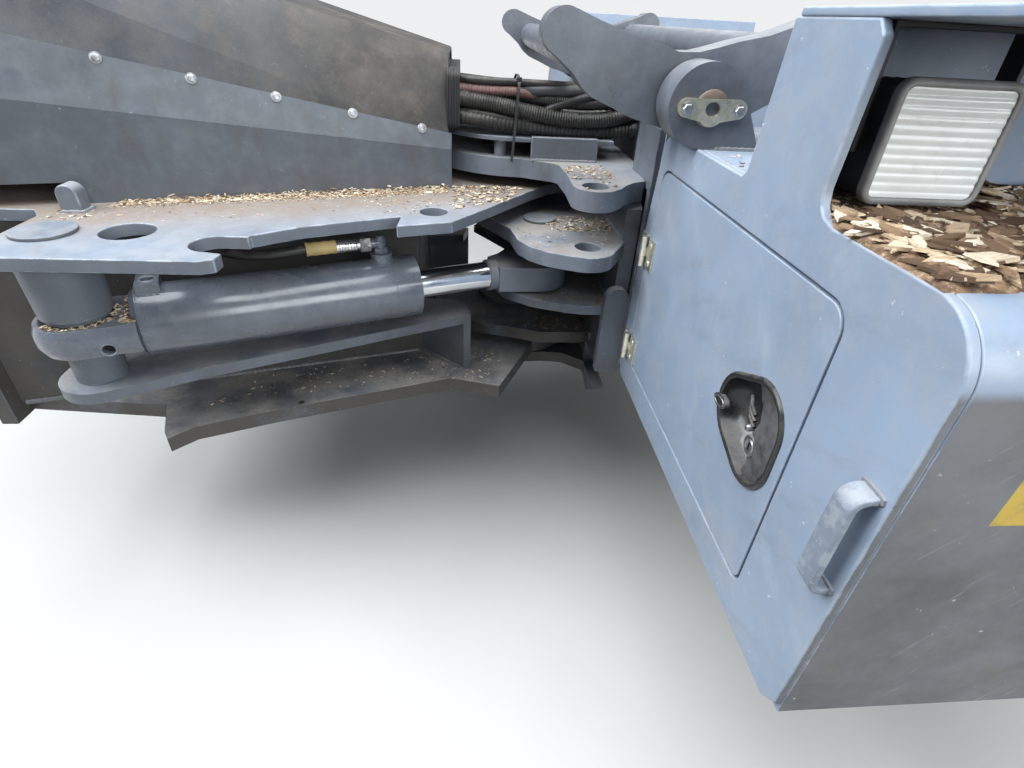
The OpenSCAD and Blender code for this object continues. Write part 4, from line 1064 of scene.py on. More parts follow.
# Frame welds: body, bead size and corners, each from the steering axis
FRAME_WELDS = (
    ("front_frame", 0.0050, ((0.182, -0.345, CLEVIS_TOP), (0.182, -0.220, CLEVIS_TOP))),
    ("front_frame", 0.0055, ((0.182, -0.350, 0.094), (0.182, -0.352, CLEVIS_TOP))),
    ("front_frame", 0.0045, ((0.182, -0.345, LUG_TOP), (0.182, -0.230, LUG_TOP))),
    ("front_frame", 0.0055, ((0.182, -0.214, -0.172), (0.182, -0.214, LOWER_ARM_TOP))),
    ("front_frame", 0.0045, ((0.182, -0.212, LOWER_ARM_TOP), (0.182, -0.090, LOWER_ARM_TOP))),
    ("front_frame", 0.0040, ((0.014, -0.205, EAR_TOP), (0.146, -0.205, EAR_TOP))),
    ("front_frame", 0.0045, ((0.234, -0.545, BOX_TOP), (0.299, -0.545, BOX_TOP), (0.299, -0.486, BOX_TOP))),
    ("rear_frame", 0.0050, ((-0.965, -0.420, LOWER_TOP), (-0.220, -0.205, LOWER_TOP))),
    ("rear_frame", 0.0045, ((-0.780, -0.367, SHELF_TOP), (-0.222, -0.206, SHELF_TOP))),
    ("rear_frame", 0.0045, ((-0.118, -0.293, LOWER_TOP), (-0.215, -0.205, LOWER_TOP))),
    ("rear_frame", 0.0040, ((-0.103, -0.287, LOWER_TOP), (-0.204, -0.195, LOWER_TOP))),
    ("rear_frame", 0.0040, ((-0.755, -0.402, UPPER_TOP), (-0.719, -0.402, UPPER_TOP),
                            (-0.719, -0.430, UPPER_TOP), (-0.755, -0.430, UPPER_TOP))),
)


def add_frame_welds(bm, body):
    for number, (on, size, corners) in enumerate(FRAME_WELDS, 1):
        if on == body:
            add_weld(bm, [at(*c) for c in corners], size, number)


# Keeper plate on each cradle bearing: its middle, the bolts' places along it, its thickness, the
# radius of its ends, the height of its tip and its hole's half axes
KEEPER_CENTRE = at(0.2175, -0.545, 0.3735)
KEEPER_BOLTS = (-0.0365, 0.0365)
KEEPER_THICK = 0.006
KEEPER_END_R = 0.0120
KEEPER_TIP = -0.0215
KEEPER_HOLE = (0.0100, 0.0088)


def build_keeper(bm, side):
    """Flat on top, rounded at its ends, and drawn down to a blunt tip, with an oval hole."""
    outline = []
    for middle, r_u, r_v, start, end, step in (
            ((KEEPER_BOLTS[0], 0.0010), KEEPER_END_R, KEEPER_END_R, 90, 271, 15),
            ((0.0, KEEPER_TIP + 0.0140), 0.0165, 0.0140, 215, 326, 11),
            ((KEEPER_BOLTS[1], 0.0010), KEEPER_END_R, KEEPER_END_R, -90, 91, 15)):
        outline += [(middle[0] + r_u * math.cos(math.radians(a)), middle[1] + r_v * math.sin(math.radians(a)))
                    for a in range(start, end, step)]
    hole = [(KEEPER_HOLE[0] * math.cos(a), 0.0005 + KEEPER_HOLE[1] * math.sin(a))
            for a in round_angles(len(outline), 2.2)]
    rings = []
    for points, depth in ((outline, 0.0), (outline, -KEEPER_THICK), (hole, -KEEPER_THICK), (hole, 0.0)):
        rings.append([KEEPER_CENTRE + Vector((u, depth, v)) for u, v in points])
    add_shell(bm, rings)


def build_keeper_bolts(bm, side):
    for offset in KEEPER_BOLTS:
        place = KEEPER_CENTRE + Vector((offset, -KEEPER_THICK, 0))
        add_lathe(bm, place, (0, -1, 0), [(0, 0.0088), (0.0012, 0.0088), (0.0016, 0.0083)])
        add_lathe(bm, place, (0, -1, 0), [(0.001, 0.0070), (0.0058, 0.0070), (0.0070, 0.0058)], 6, offset)


def build_pin_end(bm, side):
    """The pin's collar, seen above and below the keeper, round its hollow end."""
    place = KEEPER_CENTRE + Vector((-0.001, 0, 0.001))
    collar = [(-0.004, 0.0235), (0.0030, 0.0235), (0.0042, 0.0220), (0.0042, 0.0115), (-0.0020, 0.0095)]
    add_lathe(bm, place, (0, -1, 0), collar, 36)


# Hinges of the doors: their axis, the heights of the pair, and the screws' places on both leaves
HINGE_Y = -0.421
HINGE_HEIGHTS = (0.127, -0.066)
SCREW_RISE = 0.016
FRAME_SCREWS_OUT = 0.0225
DOOR_SCREWS_OUT = -0.0205


def add_screws(bm, out):
    """Two flat round heads on each hinge, at a distance from its axis."""
    for z in HINGE_HEIGHTS:
        for dz in (-SCREW_RISE, SCREW_RISE):
            place = at(BOX_FRONT - 0.003, HINGE_Y + out, z + dz)
            add_lathe(bm, place, (-1, 0, 0), [(-0.001, 0.0058), (0.0012, 0.0054), (0.0026, 0.0034)], 18)


def build_hinge_screws(bm, side):
    add_screws(bm, FRAME_SCREWS_OUT)


def build_leaf_screws(bm, side):
    add_screws(bm, DOOR_SCREWS_OUT)


# Door latch: a bowl in the door with a paddle over its outer half. Its outline is what a disc covers
# that runs round three corners
LATCH_LOW, LATCH_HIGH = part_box("near_latch")
LATCH_R = 0.050
LATCH_CORNERS = ((0.0, -0.0185), (0.043, -0.002), (0.0, 0.0185))
LATCH_AT = (LATCH_LOW.y + LATCH_R, (LATCH_LOW.z + LATCH_HIGH.z) / 2)
LATCH_SMALLEST_R = 0.012
CORNER_STEPS = 11


def latch_point(u, v, depth):
    """A point of the latch: across from its middle towards the machine's, up, and into the door."""
    return at(BOX_FRONT + depth, LATCH_AT[0] + u, LATCH_AT[1] + v)


def latch_ring(inset, depth):
    """A ring of the latch's outline, drawn in by inset, at a depth behind the door's face."""
    r = max(LATCH_R - inset, LATCH_SMALLEST_R)
    shrink = min(1.0, (LATCH_R + 0.010 - inset) / (LATCH_SMALLEST_R + 0.010))
    ring = []
    count = len(LATCH_CORNERS)
    for i, (u, v) in enumerate(LATCH_CORNERS):
        before, after = LATCH_CORNERS[i - 1], LATCH_CORNERS[(i + 1) % count]
        start = math.atan2(-(u - before[0]), v - before[1])
        turn = (math.atan2(-(after[0] - u), after[1] - v) - start) % math.tau
        for k in range(CORNER_STEPS + 1):
            a = start + turn * k / CORNER_STEPS
            ring.append(latch_point(u * shrink + r * math.cos(a), v * shrink + r * math.sin(a), depth))
    return ring


# The bowl's section, as insets and depths: from its floor up to the rim, then down its outer side
BOWL_SECTION = (
    (0.0400, 0.0275), (0.0300, 0.0265), (0.0210, 0.0225), (0.0150, 0.0160), (0.0110, 0.0080), (0.0088, 0.0010),
    (0.0076, -0.0026), (0.0052, -0.0040), (0.0022, -0.0039), (0.0005, -0.0024), (0.0, 0.0), (0.0066, 0.0002),
    (0.0068, 0.0100), (0.0110, 0.0210), (0.0190, 0.0275), (0.0300, 0.0300), (0.0400, 0.0310))


def build_latch_bowl(bm, side):
    add_rings(bm, [latch_ring(inset, depth) for inset, depth in BOWL_SECTION])


# The paddle's free edge: its place across the latch for its height over the middle. Then the lock's
# and the ear's places, and the ear's tilt
PADDLE_EDGE = ((-0.062, 0.010), (-0.046, 0.005), (-0.025, 0.008), (-0.010, 0.014), (0.004, 0.010),
               (0.014, 0.006), (0.033, 0.0115), (0.046, 0.0225), (0.060, 0.032))
LOCK_AT = (0.0, -0.018)
EAR_AT = (0.082, -0.012)
EAR_TILT = -8
PADDLE_HIGH = 0.060
PADDLE_THICK = 0.0050


def paddle_edge(high):
    for (low_v, low_u), (high_v, high_u) in zip(PADDLE_EDGE, PADDLE_EDGE[1:]):
        if high <= high_v:
            share = max(0.0, (high - low_v) / (high_v - low_v))
            return low_u + (high_u - low_u) * share * share * (3 - 2 * share)
    return PADDLE_EDGE[-1][1]


def build_latch_paddle(bm, side):
    """A crowned plate over the outer half, its free edge curved in and stepped."""
    columns, rows = 18, 24
    borders = []
    for back in (0.0, PADDLE_THICK):
        grid = []
        for i in range(columns + 1):
            line = []
            for j in range(rows + 1):
                v = j / rows * 2 - 1
                edge = paddle_edge(v * PADDLE_HIGH)
                reach = math.sqrt(max(0.0, 1 - (v * 0.93) ** 2))
                left = -(LATCH_R - 0.0085) * (0.35 + 0.65 * reach)
                u = left + (edge - left) * i / columns
                slope = max(0.0, u / 0.043)
                z = v * (PADDLE_HIGH - 0.0130 * slope - 0.021 * max(0.0, (-u - 0.012) / 0.030) ** 2)
                crown = 0.0045 * (1 - v * v) * math.sin(math.pi * min(1, i / columns * 0.8 + 0.2))
                step = 0.0045 * max(0, i - columns + 3) / 3
                line.append(bm.verts.new(latch_point(u, z, 0.0030 - crown + step + back)))
            grid.append(line)
        add_grid_faces(bm, grid, flip=back > 0)
        borders.append([line[0] for line in grid] + grid[-1][1:] + [line[-1] for line in grid[-2::-1]]
                       + grid[0][-2:0:-1])
    front, rear = borders
    for i in range(len(front)):
        j = (i + 1) % len(front)
        bm.faces.new((front[i], front[j], rear[j], rear[i]))


def oval(centre, half_u, half_v, tilt):
    """Points of an oval in the door's plane, tilted in degrees."""
    lean = math.radians(tilt)
    points = []
    for a in round_angles(28):
        u, v = half_u * math.cos(a), half_v * math.sin(a)
        points.append(centre + Vector((0, u * math.cos(lean) - v * math.sin(lean),
                                       u * math.sin(lean) + v * math.cos(lean))))
    return points


def build_latch_ribs(bm, side):
    """Slanted ribs between the bowl and the paddle, and a collar round the lock."""
    for u, v in ((0.030, 0.0165), (0.028, 0.0095), (0.026, 0.0025)):
        a, b = latch_point(u + 0.014, v + 0.005, 0.0125), latch_point(u - 0.014, v - 0.003, 0.0055)
        add_tube(bm, [a, a.lerp(b, 0.5) + Vector((-0.003, 0, 0.001)), b], 0.0025, 10)
    add_lathe(bm, latch_point(*LOCK_AT, 0.0005), (-1, 0, 0),
              [(-0.018, 0.0140), (0.0, 0.0135), (0.0016, 0.0122), (0.0010, 0.0100)], 28)
    add_prism(bm, oval(latch_point(*EAR_AT, -0.0050), 0.0165, 0.0088, EAR_TILT), (0.006, 0, 0))


def build_latch_floor(bm, side):
    """Light grey floor of the lower part of the bowl."""
    add_prism(bm, oval(latch_point(0.0265, -0.036, 0.0130), 0.0125, 0.0270, 4), (0.016, 0, 0))


def build_latch_lock(bm, side):
    add_lathe(bm, latch_point(*LOCK_AT, 0.0005), (-1, 0, 0),
              [(-0.018, 0.0090), (0.0012, 0.0090), (0.0022, 0.0080), (0.0016, 0.0062)], 28)
    loop = oval(latch_point(*EAR_AT, -0.0055), 0.0125, 0.0055, EAR_TILT)
    add_tube(bm, loop + [loop[0]], 0.0009, 8)
    rivet = [(-0.010, 0.0046), (0.0, 0.0046), (0.0020, 0.0030)]
    add_lathe(bm, latch_point(0.0170, -0.0045, 0.001), (-1, 0, 0), rivet, 16)


def build_latch_dark(bm, side):
    """Key slot, and the dark oval inside the ear's loop: near-black painted shade in the slot and in the loop's
    hole.
    """
    slot = latch_point(*LOCK_AT, 0.0005)
    add_block(bm, slot + Vector((-0.0030, -0.0008, -0.0048)), slot + Vector((0.001, 0.0008, 0.0048)))
    add_prism(bm, oval(latch_point(*EAR_AT, -0.0053), 0.0130, 0.0056, EAR_TILT), (0.004, 0, 0))


# Grab handle: a flat bar bent out of the box front
HANDLE_LOW, HANDLE_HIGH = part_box("grab_handles")
HANDLE_Y = (HANDLE_LOW.y, HANDLE_LOW.y + 0.024)
HANDLE_BEND = 0.013
HANDLE_THICK = 0.007


def build_handle(bm, side):
    front = HANDLE_LOW.x + HANDLE_THICK / 2
    back = PIVOT_X + BOX_FRONT
    low, high = HANDLE_LOW.z + HANDLE_THICK / 2, HANDLE_HIGH.z - HANDLE_THICK / 2
    path = [(back, low, 0, -1)]
    for bend_z, start in ((low + HANDLE_BEND, 270), (high - HANDLE_BEND, 180)):
        for k in range(7):
            a = math.radians(start - 15 * k)
            path.append((front + HANDLE_BEND + HANDLE_BEND * math.cos(a), bend_z + HANDLE_BEND * math.sin(a),
                         math.cos(a), math.sin(a)))
    path.append((back, high, 0, 1))
    half = HANDLE_THICK / 2
    rings = []
    for x, z, nx, nz in path:
        rings.append([Vector((x + nx * s * half, y, z + nz * s * half))
                      for y, s in ((HANDLE_Y[0], -1), (HANDLE_Y[0], 1), (HANDLE_Y[1], 1), (HANDLE_Y[1], -1))])
    add_rings(bm, rings)


def build_handle_welds(bm, side):
    for z in (HANDLE_LOW.z, HANDLE_HIGH.z - HANDLE_THICK):
        corners = [Vector((PIVOT_X + BOX_FRONT, y, zz)) for y, zz in
                   ((HANDLE_Y[0], z), (HANDLE_Y[0], z + HANDLE_THICK), (HANDLE_Y[1], z + HANDLE_THICK),
                    (HANDLE_Y[1], z), (HANDLE_Y[0], z))]
        add_weld(bm, corners, 0.0030, z * 40)


# Work lamp in each niche: finned housing on trunnions, bezel, ribbed lens and the bulb behind it
LAMP_LOW, LAMP_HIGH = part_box("near_lamp_lens")
HOUSING_LOW, HOUSING_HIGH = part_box("near_lamp_housing")
LAMP_MIDDLE = ((LAMP_LOW.x + LAMP_HIGH.x) / 2, (LAMP_LOW.z + LAMP_HIGH.z) / 2)
LAMP_HALF = ((LAMP_HIGH.x - LAMP_LOW.x) / 2 + 0.006, (LAMP_HIGH.z - LAMP_LOW.z) / 2 + 0.006)
LAMP_FACE = LAMP_LOW.y
LAMP_BACK = HOUSING_HIGH.y
LAMP_R = 0.014
LAMP_FINS = 9
FIN_HALF = 0.0014
TRUNNION_HIGH = 0.388
TRUNNION_R = 0.009
TRUNNION_LONG = 0.006
LENS_RIB_PITCH = 0.0082
LENS_CORNER = 0.007


# Sections of housing, bezel and reflector, as insets and depths behind the lamp's face
HOUSING_SECTION = ((0.0030, 0.008), (0.0030, 0.016), (0.0060, 0.018), (0.0080, 0.046), (0.0110, 0.050))
BEZEL_SECTION = ((0.0026, 0.0120), (0.0, 0.0100), (0.0, 0.0030), (0.0015, 0.0010), (0.0045, 0.0002),
                 (0.0068, 0.0012), (0.0078, 0.0040), (0.0078, 0.0120))
REFLECTOR_SECTION = ((0.0080, 0.0072), (0.0150, 0.0110), (0.0300, 0.0145), (0.0460, 0.0155))


def lamp_rings(section):
    rings = []
    for inset, depth in section:
        outline = rounded_rectangle(LAMP_HALF[0] - inset, LAMP_HALF[1] - inset, max(LAMP_R - inset, 0.004), 5)
        rings.append([Vector((LAMP_MIDDLE[0] + u, LAMP_FACE + depth, LAMP_MIDDLE[1] + v)) for u, v in outline])
    return rings


def build_lamp_housing(bm, side):
    add_rings(bm, lamp_rings(HOUSING_SECTION))
    width = 2 * (LAMP_HALF[0] - 0.012)
    for k in range(LAMP_FINS):
        x = LAMP_MIDDLE[0] - width / 2 + width * k / (LAMP_FINS - 1)
        add_block(bm, (x - FIN_HALF, LAMP_FACE + 0.018, LAMP_MIDDLE[1] - LAMP_HALF[1] + 0.004),
                  (x + FIN_HALF, LAMP_BACK, LAMP_MIDDLE[1] + LAMP_HALF[1] - 0.004))
    for end in (HOUSING_LOW.x, HOUSING_HIGH.x - TRUNNION_LONG):
        add_lathe(bm, (end, LAMP_FACE + 0.038, TRUNNION_HIGH), (1, 0, 0),
                  [(0, TRUNNION_R), (TRUNNION_LONG, TRUNNION_R)], 20)


def build_lamp_bezel(bm, side):
    add_shell(bm, lamp_rings(BEZEL_SECTION))


def build_lamp_lens(bm, side):
    """A ribbed sheet inside the bezel, crowned a little."""
    half_u, half_v = LAMP_HALF[0] - 0.0070, LAMP_HALF[1] - 0.0070
    columns, rows = 24, 96
    layers = []
    for back in (0.0, 0.0026):
        grid = []
        for j in range(rows + 1):
            v = -1 + 2 * j / rows
            cut = max(0.0, abs(v) * half_v - (half_v - LENS_CORNER))
            reach = half_u - (LENS_CORNER - math.sqrt(max(0.0, LENS_CORNER ** 2 - cut ** 2)))
            line = []
            for i in range(columns + 1):
                u = -1 + 2 * i / columns
                crown = 0.0016 * (1 - u * u) * (1 - v * v)
                rib = 0.0007 * abs(math.sin(math.pi * v * half_v / LENS_RIB_PITCH)) if back == 0 else 0.0
                line.append(bm.verts.new((LAMP_MIDDLE[0] + u * reach, LAMP_FACE + 0.0034 - crown - rib + back,
                                          LAMP_MIDDLE[1] + v * half_v)))
            grid.append(line)
        layers.append(grid)
        for j in range(rows):
            for i in range(columns):
                face = (grid[j][i], grid[j][i + 1], grid[j + 1][i + 1], grid[j + 1][i])
                bm.faces.new(face if back == 0 else reversed(face))
    front, rear = layers
    edge = [(0, i) for i in range(columns)] + [(j, columns) for j in range(rows)]
    edge += [(rows, i) for i in range(columns, 0, -1)] + [(j, 0) for j in range(rows, 0, -1)]
    for (a, b), (c, d) in zip(edge, edge[1:] + edge[:1]):
        bm.faces.new((front[a][b], rear[a][b], rear[c][d], front[c][d]))


def build_lamp_reflector(bm, side):
    rings = lamp_rings(REFLECTOR_SECTION)
    add_rings(bm, rings, close_ends=False)
    bm.faces.new([bm.verts.new(p) for p in rings[-1]])
    bmesh.ops.remove_doubles(bm, verts=bm.verts, dist=WELDED)


def build_lamp_bulb(bm, side):
    place = (LAMP_MIDDLE[0], LAMP_FACE + 0.0150, LAMP_MIDDLE[1] - 0.002)
    add_lathe(bm, place, (0, -1, 0), [(0, 0.0130), (0.0040, 0.0120), (0.0070, 0.0080), (0.0082, 0.0030)], 24)


# Wood chips: corners of each patch seen from above, its height, count, longest chip and pile. The
# pile is highest along the line of the first two corners
CHIP_PATCHES = {
    "rear_frame": (
        (((-0.690, -0.369), (-0.150, -0.212), (-0.150, -0.245), (-0.690, -0.386)), UPPER_TOP, 2300, 0.012, 0.005),
        (((-0.700, -0.372), (-0.150, -0.212), (-0.150, -0.262), (-0.700, -0.405)), UPPER_TOP, 3000, 0.0055, 0.001),
        (((-0.640, -0.356), (-0.150, -0.212), (-0.150, -0.226), (-0.640, -0.366)), UPPER_TOP, 700, 0.015, 0.009),
        (((-0.700, -0.380), (-0.160, -0.250), (-0.200, -0.390), (-0.760, -0.500)), UPPER_TOP, 170, 0.007, 0.001),
        (((-0.140, -0.200), (0.000, -0.190), (-0.030, -0.290), (-0.140, -0.360)), UPPER_TOP, 420, 0.014, 0.004),
        (((-0.300, -0.300), (-0.110, -0.320), (-0.150, -0.400), (-0.240, -0.390)), UPPER_TOP, 90, 0.009, 0.001),
        (((-0.620, -0.440), (-0.220, -0.330), (-0.200, -0.220), (-0.600, -0.330)), LOWER_TOP, 160, 0.011, 0.001),
        (((-0.240, -0.340), (-0.060, -0.330), (-0.020, -0.220), (-0.200, -0.215)), LOWER_TOP, 120, 0.010, 0.001),
        (((-0.700, -0.420), (-0.300, -0.320), (-0.240, -0.230), (-0.700, -0.360)), SHELF_TOP, 110, 0.010, 0.001),
        (((-0.770, -0.470), (-0.700, -0.470), (-0.690, -0.430), (-0.770, -0.420)), UPPER_TOP, 40, 0.010, 0.001),
    ),
    "front_frame": (
        (((0.072, -0.352), (0.160, -0.340), (0.150, -0.235), (0.072, -0.240)), EAR_TOP, 170, 0.013, 0.004),
        (((0.085, -0.420), (0.150, -0.390), (0.150, -0.340), (0.075, -0.340)), EAR_TOP, 60, 0.010, 0.002),
        (((0.060, -0.310), (0.178, -0.300), (0.178, -0.215), (0.020, -0.205)), CLEVIS_TOP, 300, 0.013, 0.005),
        (((0.010, -0.400), (0.170, -0.370), (0.178, -0.260), (-0.040, -0.280)), CLEVIS_TOP, 90, 0.009, 0.001),
        (((0.030, -0.330), (0.178, -0.345), (0.178, -0.240), (0.100, -0.260)), LUG_TOP, 60, 0.010, 0.002),
        (((0.020, -0.215), (0.178, -0.210), (0.178, -0.110), (0.060, -0.120)), LOWER_ARM_TOP, 130, 0.012, 0.003),
        (((0.214, -0.640), (0.260, -0.680), (0.300, -0.650), (0.240, -0.560)), BOX_TOP, 26, 0.012, 0.001),
    ),
}
# Holes and pins that no chip covers: x, y and radius
ROUND_HOLES = ((-0.615, -0.511, 0.0375), (-0.171, -0.371, 0.0245), (0.108, -0.390, 0.0235), (0.0, 0.0, 0.080),
               (-0.723, -0.525, 0.046))


def add_chip(bm, layer, centre, length, tone, rng):
    """A thin splinter with four or five uneven corners."""
    width = length * rng.uniform(0.20, 0.52)
    thick = length * rng.uniform(0.04, 0.10)
    corners = rng.choice((4, 5))
    turn = Matrix.Rotation(rng.uniform(0, math.tau), 4, "Z") @ Matrix.Rotation(rng.gauss(0, 0.15), 4, "X")
    turn = turn @ Matrix.Rotation(rng.gauss(0, 0.12), 4, "Y")
    low, high = [], []
    for k in range(corners):
        a = math.tau * (k + rng.uniform(-0.25, 0.25)) / corners
        p = Vector((length / 2 * math.cos(a), width / 2 * math.sin(a), 0))
        q = Vector((p.x * 0.93, p.y * 0.93, thick))
        low.append(bm.verts.new(centre + turn @ p))
        high.append(bm.verts.new(centre + turn @ q))
    bm.faces.new(reversed(low))
    bm.faces.new(high)
    for i in range(corners):
        j = (i + 1) % corners
        bm.faces.new((low[i], low[j], high[j], high[i]))
    for vert in low + high:
        vert[layer] = tone


def chip_tone(rng):
    """Cream, tan and orange slivers with some dark bark."""
    return min(1.0, max(0.0, rng.choice((0.14, 0.36, 0.55, 0.66, 0.80, 0.92, 1.0)) + rng.gauss(0, 0.07)))


def add_frame_chips(bm, side, body):
    rng = random.Random(f"{body} {side}")
    layer = bm.verts.layers.float.new("tone")
    for corners, high, count, longest, pile in CHIP_PATCHES[body]:
        a, b, c, d = [Vector((*p, 0)) for p in corners]
        for _ in range(count):
            s, t = rng.random(), rng.random() ** 1.25
            p = a.lerp(b, s).lerp(d.lerp(c, s), t)
            length = longest * (0.28 + 0.72 * rng.random() ** 1.6)
            if any(math.hypot(p.x - x, p.y - y) < r + length / 2 for x, y, r in ROUND_HOLES):
                continue
            lift = 0.0006 + pile * rng.random() ** 2 * (1 - t)
            add_chip(bm, layer, at(p.x, p.y, high + lift), length, chip_tone(rng), rng)


# Chips on the base eye: how many lie round its boss and against the barrel, and the eye's top
BOSS_CHIPS = 170
BARREL_CHIPS = 230
EYE_TOP = 0.0246


def build_eye_chips(bm, side):
    """Chips that lie on the base eye round its boss and against the barrel."""
    rng = random.Random(f"eye {side}")
    layer = bm.verts.layers.float.new("tone")
    for _ in range(BOSS_CHIPS):
        a = rng.uniform(-0.5, 2.6)
        reach = 0.0475 + 0.0105 * rng.random()
        place = on_cylinder(reach * math.cos(a), reach * math.sin(a), EYE_TOP + 0.002 * rng.random() ** 2)
        add_chip(bm, layer, place, rng.uniform(0.003, 0.0085), chip_tone(rng), rng)
    for _ in range(BARREL_CHIPS):
        out = rng.uniform(-0.050, 0.056)
        station = rng.uniform(0.063, 0.086) - abs(out) * 0.12
        place = on_cylinder(station, out, EYE_TOP + 0.004 * rng.random() ** 2)
        add_chip(bm, layer, place, rng.uniform(0.004, 0.010), chip_tone(rng), rng)


# Layer of bark and chips in each lamp niche: its span, height, the height left free under the lamp,
# half the lamp's room, and the number of loose chips
BED_X = (BOX_FRONT + 0.001, 0.829)
BED_Y = (-1.030, -0.738)
BED_HIGH = 0.016
LAMP_ROOM = 0.0035
LAMP_ROOM_HALF = (0.072, 0.044)
BED_CHIPS = 4200


def bed_height(x, y):
    """Height of the litter over the box's top: uneven, thin at its borders and under the lamp."""
    coarse, fine = noise.noise(Vector((x * 21, y * 21, 3))), noise.noise(Vector((x * 60, y * 60, 9)))
    border = min(1.0, (x - BED_X[0]) / 0.020, (BED_X[1] - x) / 0.020,
                 (y - BED_Y[0]) / 0.028, (BED_Y[1] - y) / 0.010)
    high = BED_HIGH * (0.55 + 0.45 * coarse + 0.25 * fine) * max(0.0, border) ** 0.6
    lamp_x, lamp_y = LAMP_MIDDLE[0] - PIVOT_X, (LAMP_FACE + LAMP_BACK) / 2
    away = max(abs(x - lamp_x) - LAMP_ROOM_HALF[0], abs(y - lamp_y) - LAMP_ROOM_HALF[1])
    return min(high, LAMP_ROOM + max(0.0, away) * 0.45)


def build_bed(bm, side):
    columns, rows = 120, 60
    grid = []
    for i in range(columns + 1):
        line = []
        for j in range(rows + 1):
            x = BED_X[0] + (BED_X[1] - BED_X[0]) * i / columns
            y = BED_Y[0] + (BED_Y[1] - BED_Y[0]) * j / rows
            line.append(bm.verts.new(at(x, y, BOX_TOP - 0.0005 + max(0.0, bed_height(x, y)))))
        grid.append(line)
    add_grid_faces(bm, grid)


def build_bed_chips(bm, side):
    rng = random.Random(f"bed {side}")
    layer = bm.verts.layers.float.new("tone")
    for _ in range(BED_CHIPS):
        x = rng.uniform(BED_X[0] + 0.004, BED_X[1] - 0.01)
        y = rng.uniform(BED_Y[0] + 0.008, BED_Y[1] - 0.008)
        high = bed_height(x, y)
        room = high <= LAMP_ROOM + 0.001
        length = rng.uniform(0.003, 0.007) if room else 0.005 + 0.036 * rng.random() ** 2
        tone = chip_tone(rng) * (1.0 if rng.random() < 0.8 else 0.4)
        add_chip(bm, layer, at(x, y, BOX_TOP + high + (0.0002 if room else 0.0008)), length, tone, rng)


# Rubber trim round the hood's mouth: how far its feet stand inside the covers and its top inside its
# feet, their heights, the corners' radius and the trim's own
TRIM_INSET = 0.028
TRIM_LEAN = 0.034
TRIM_FOOT, TRIM_TOP = 0.262, 0.402
TRIM_CORNER = 0.044
TRIM_R = 0.0042


def build_hood_trim():
    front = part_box("hood")[1].x
    half_low = -COVER_FRONT.y - TRIM_INSET
    half_top = half_low - TRIM_LEAN
    corner_y, corner_z = TRIM_CORNER - half_top, TRIM_TOP - TRIM_CORNER
    outline = [(-half_low, TRIM_FOOT), (-half_top, corner_z)]
    for k in range(7):
        a = math.radians(180 - 15 * k)
        outline.append((corner_y + TRIM_CORNER * math.cos(a), corner_z + TRIM_CORNER * math.sin(a)))
    outline += [(-y, z) for y, z in reversed(outline)]
    points = spread_points([Vector((front - 0.002, y, z - 0.003)) for y, z in outline], 0.008)
    bm = bmesh.new()
    add_tube(bm, points, TRIM_R, 10)
    piece("hood_trim", bm, "black", "rear_frame", "black_plastic")


# Pieces on both sides: name, builder, material, body, slot, and what else on_both_sides is told
BARREL, DOOR, LAMP = "{side}_barrel_body", "{side}_door_body", "{side}_lamp_body"
SIDE_PIECES = (
    ("band_bolts", build_band_bolts, "bolt", "rear_frame", "zinc", {}),
    ("elbow", build_elbow, "cylinder", BARREL, "cylinder_paint", {"bevel": 0.0008}),
    ("crimp", build_crimp, "zinc", BARREL, "zinc", {}),
    ("sleeve", build_sleeve, "sleeve", BARREL, "zinc", {}),
    ("cylinder_holes", build_cylinder_holes, "hole", BARREL, "cylinder_paint", {}),
    ("port_rings", build_port_rings, "cylinder_edge", BARREL, "cylinder_paint", {}),
    ("cylinder_welds", build_cylinder_welds, "cylinder", BARREL, "cylinder_paint", {}),
    ("eye_chips", build_eye_chips, "chips", BARREL, "cylinder_paint", {}),
    ("bulkhead", build_bulkhead, "zinc", "rear_frame", "zinc", {}),
    ("supply_hose", build_supply_hose, "rubber", "rear_frame", "hose_rubber", {"ride": False}),
    ("keeper", build_keeper, "gold_zinc", "front_frame", "zinc", {"bevel": 0.0008}),
    ("keeper_bolts", build_keeper_bolts, "bolt", "front_frame", "zinc", {}),
    ("pin_end", build_pin_end, "rust", "front_frame", "pin_steel", {}),
    ("hinge_screws", build_hinge_screws, "galvanised", "front_frame", "zinc", {}),
    ("leaf_screws", build_leaf_screws, "galvanised", DOOR, "zinc", {}),
    ("latch_bowl", build_latch_bowl, "latch", DOOR, "black_plastic", {}),
    ("latch_paddle", build_latch_paddle, "paddle", DOOR, "black_plastic", {"bevel": 0.0008}),
    ("latch_ribs", build_latch_ribs, "paddle", DOOR, "black_plastic", {}),
    ("latch_floor", build_latch_floor, "latch_dust", DOOR, "black_plastic", {}),
    ("latch_lock", build_latch_lock, "bolt", DOOR, "zinc", {}),
    ("latch_dark", build_latch_dark, "hole", DOOR, "black_plastic", {}),
    ("handle", build_handle, "handle", "front_frame", "box_paint", {"bevel": 0.0018}),
    ("handle_welds", build_handle_welds, "weld", "front_frame", "box_paint", {}),
    ("lamp_shell", build_lamp_housing, "lamp", LAMP, "lamp_metal", {"bevel": 0.0006}),
    ("lamp_bezel", build_lamp_bezel, "bezel", LAMP, "lamp_metal", {}),
    ("lamp_glass", build_lamp_lens, "lens", LAMP, "lens", {}),
    ("lamp_reflector", build_lamp_reflector, "zinc", LAMP, "lamp_metal", {"solid": False}),
    ("lamp_bulb", build_lamp_bulb, "bulb", LAMP, "lamp_metal", {}),
    ("niche_bed", build_bed, "litter", "front_frame", "box_paint", {"solid": False}),
    ("bed_chips", build_bed_chips, "chips", "front_frame", "box_paint", {}),
)


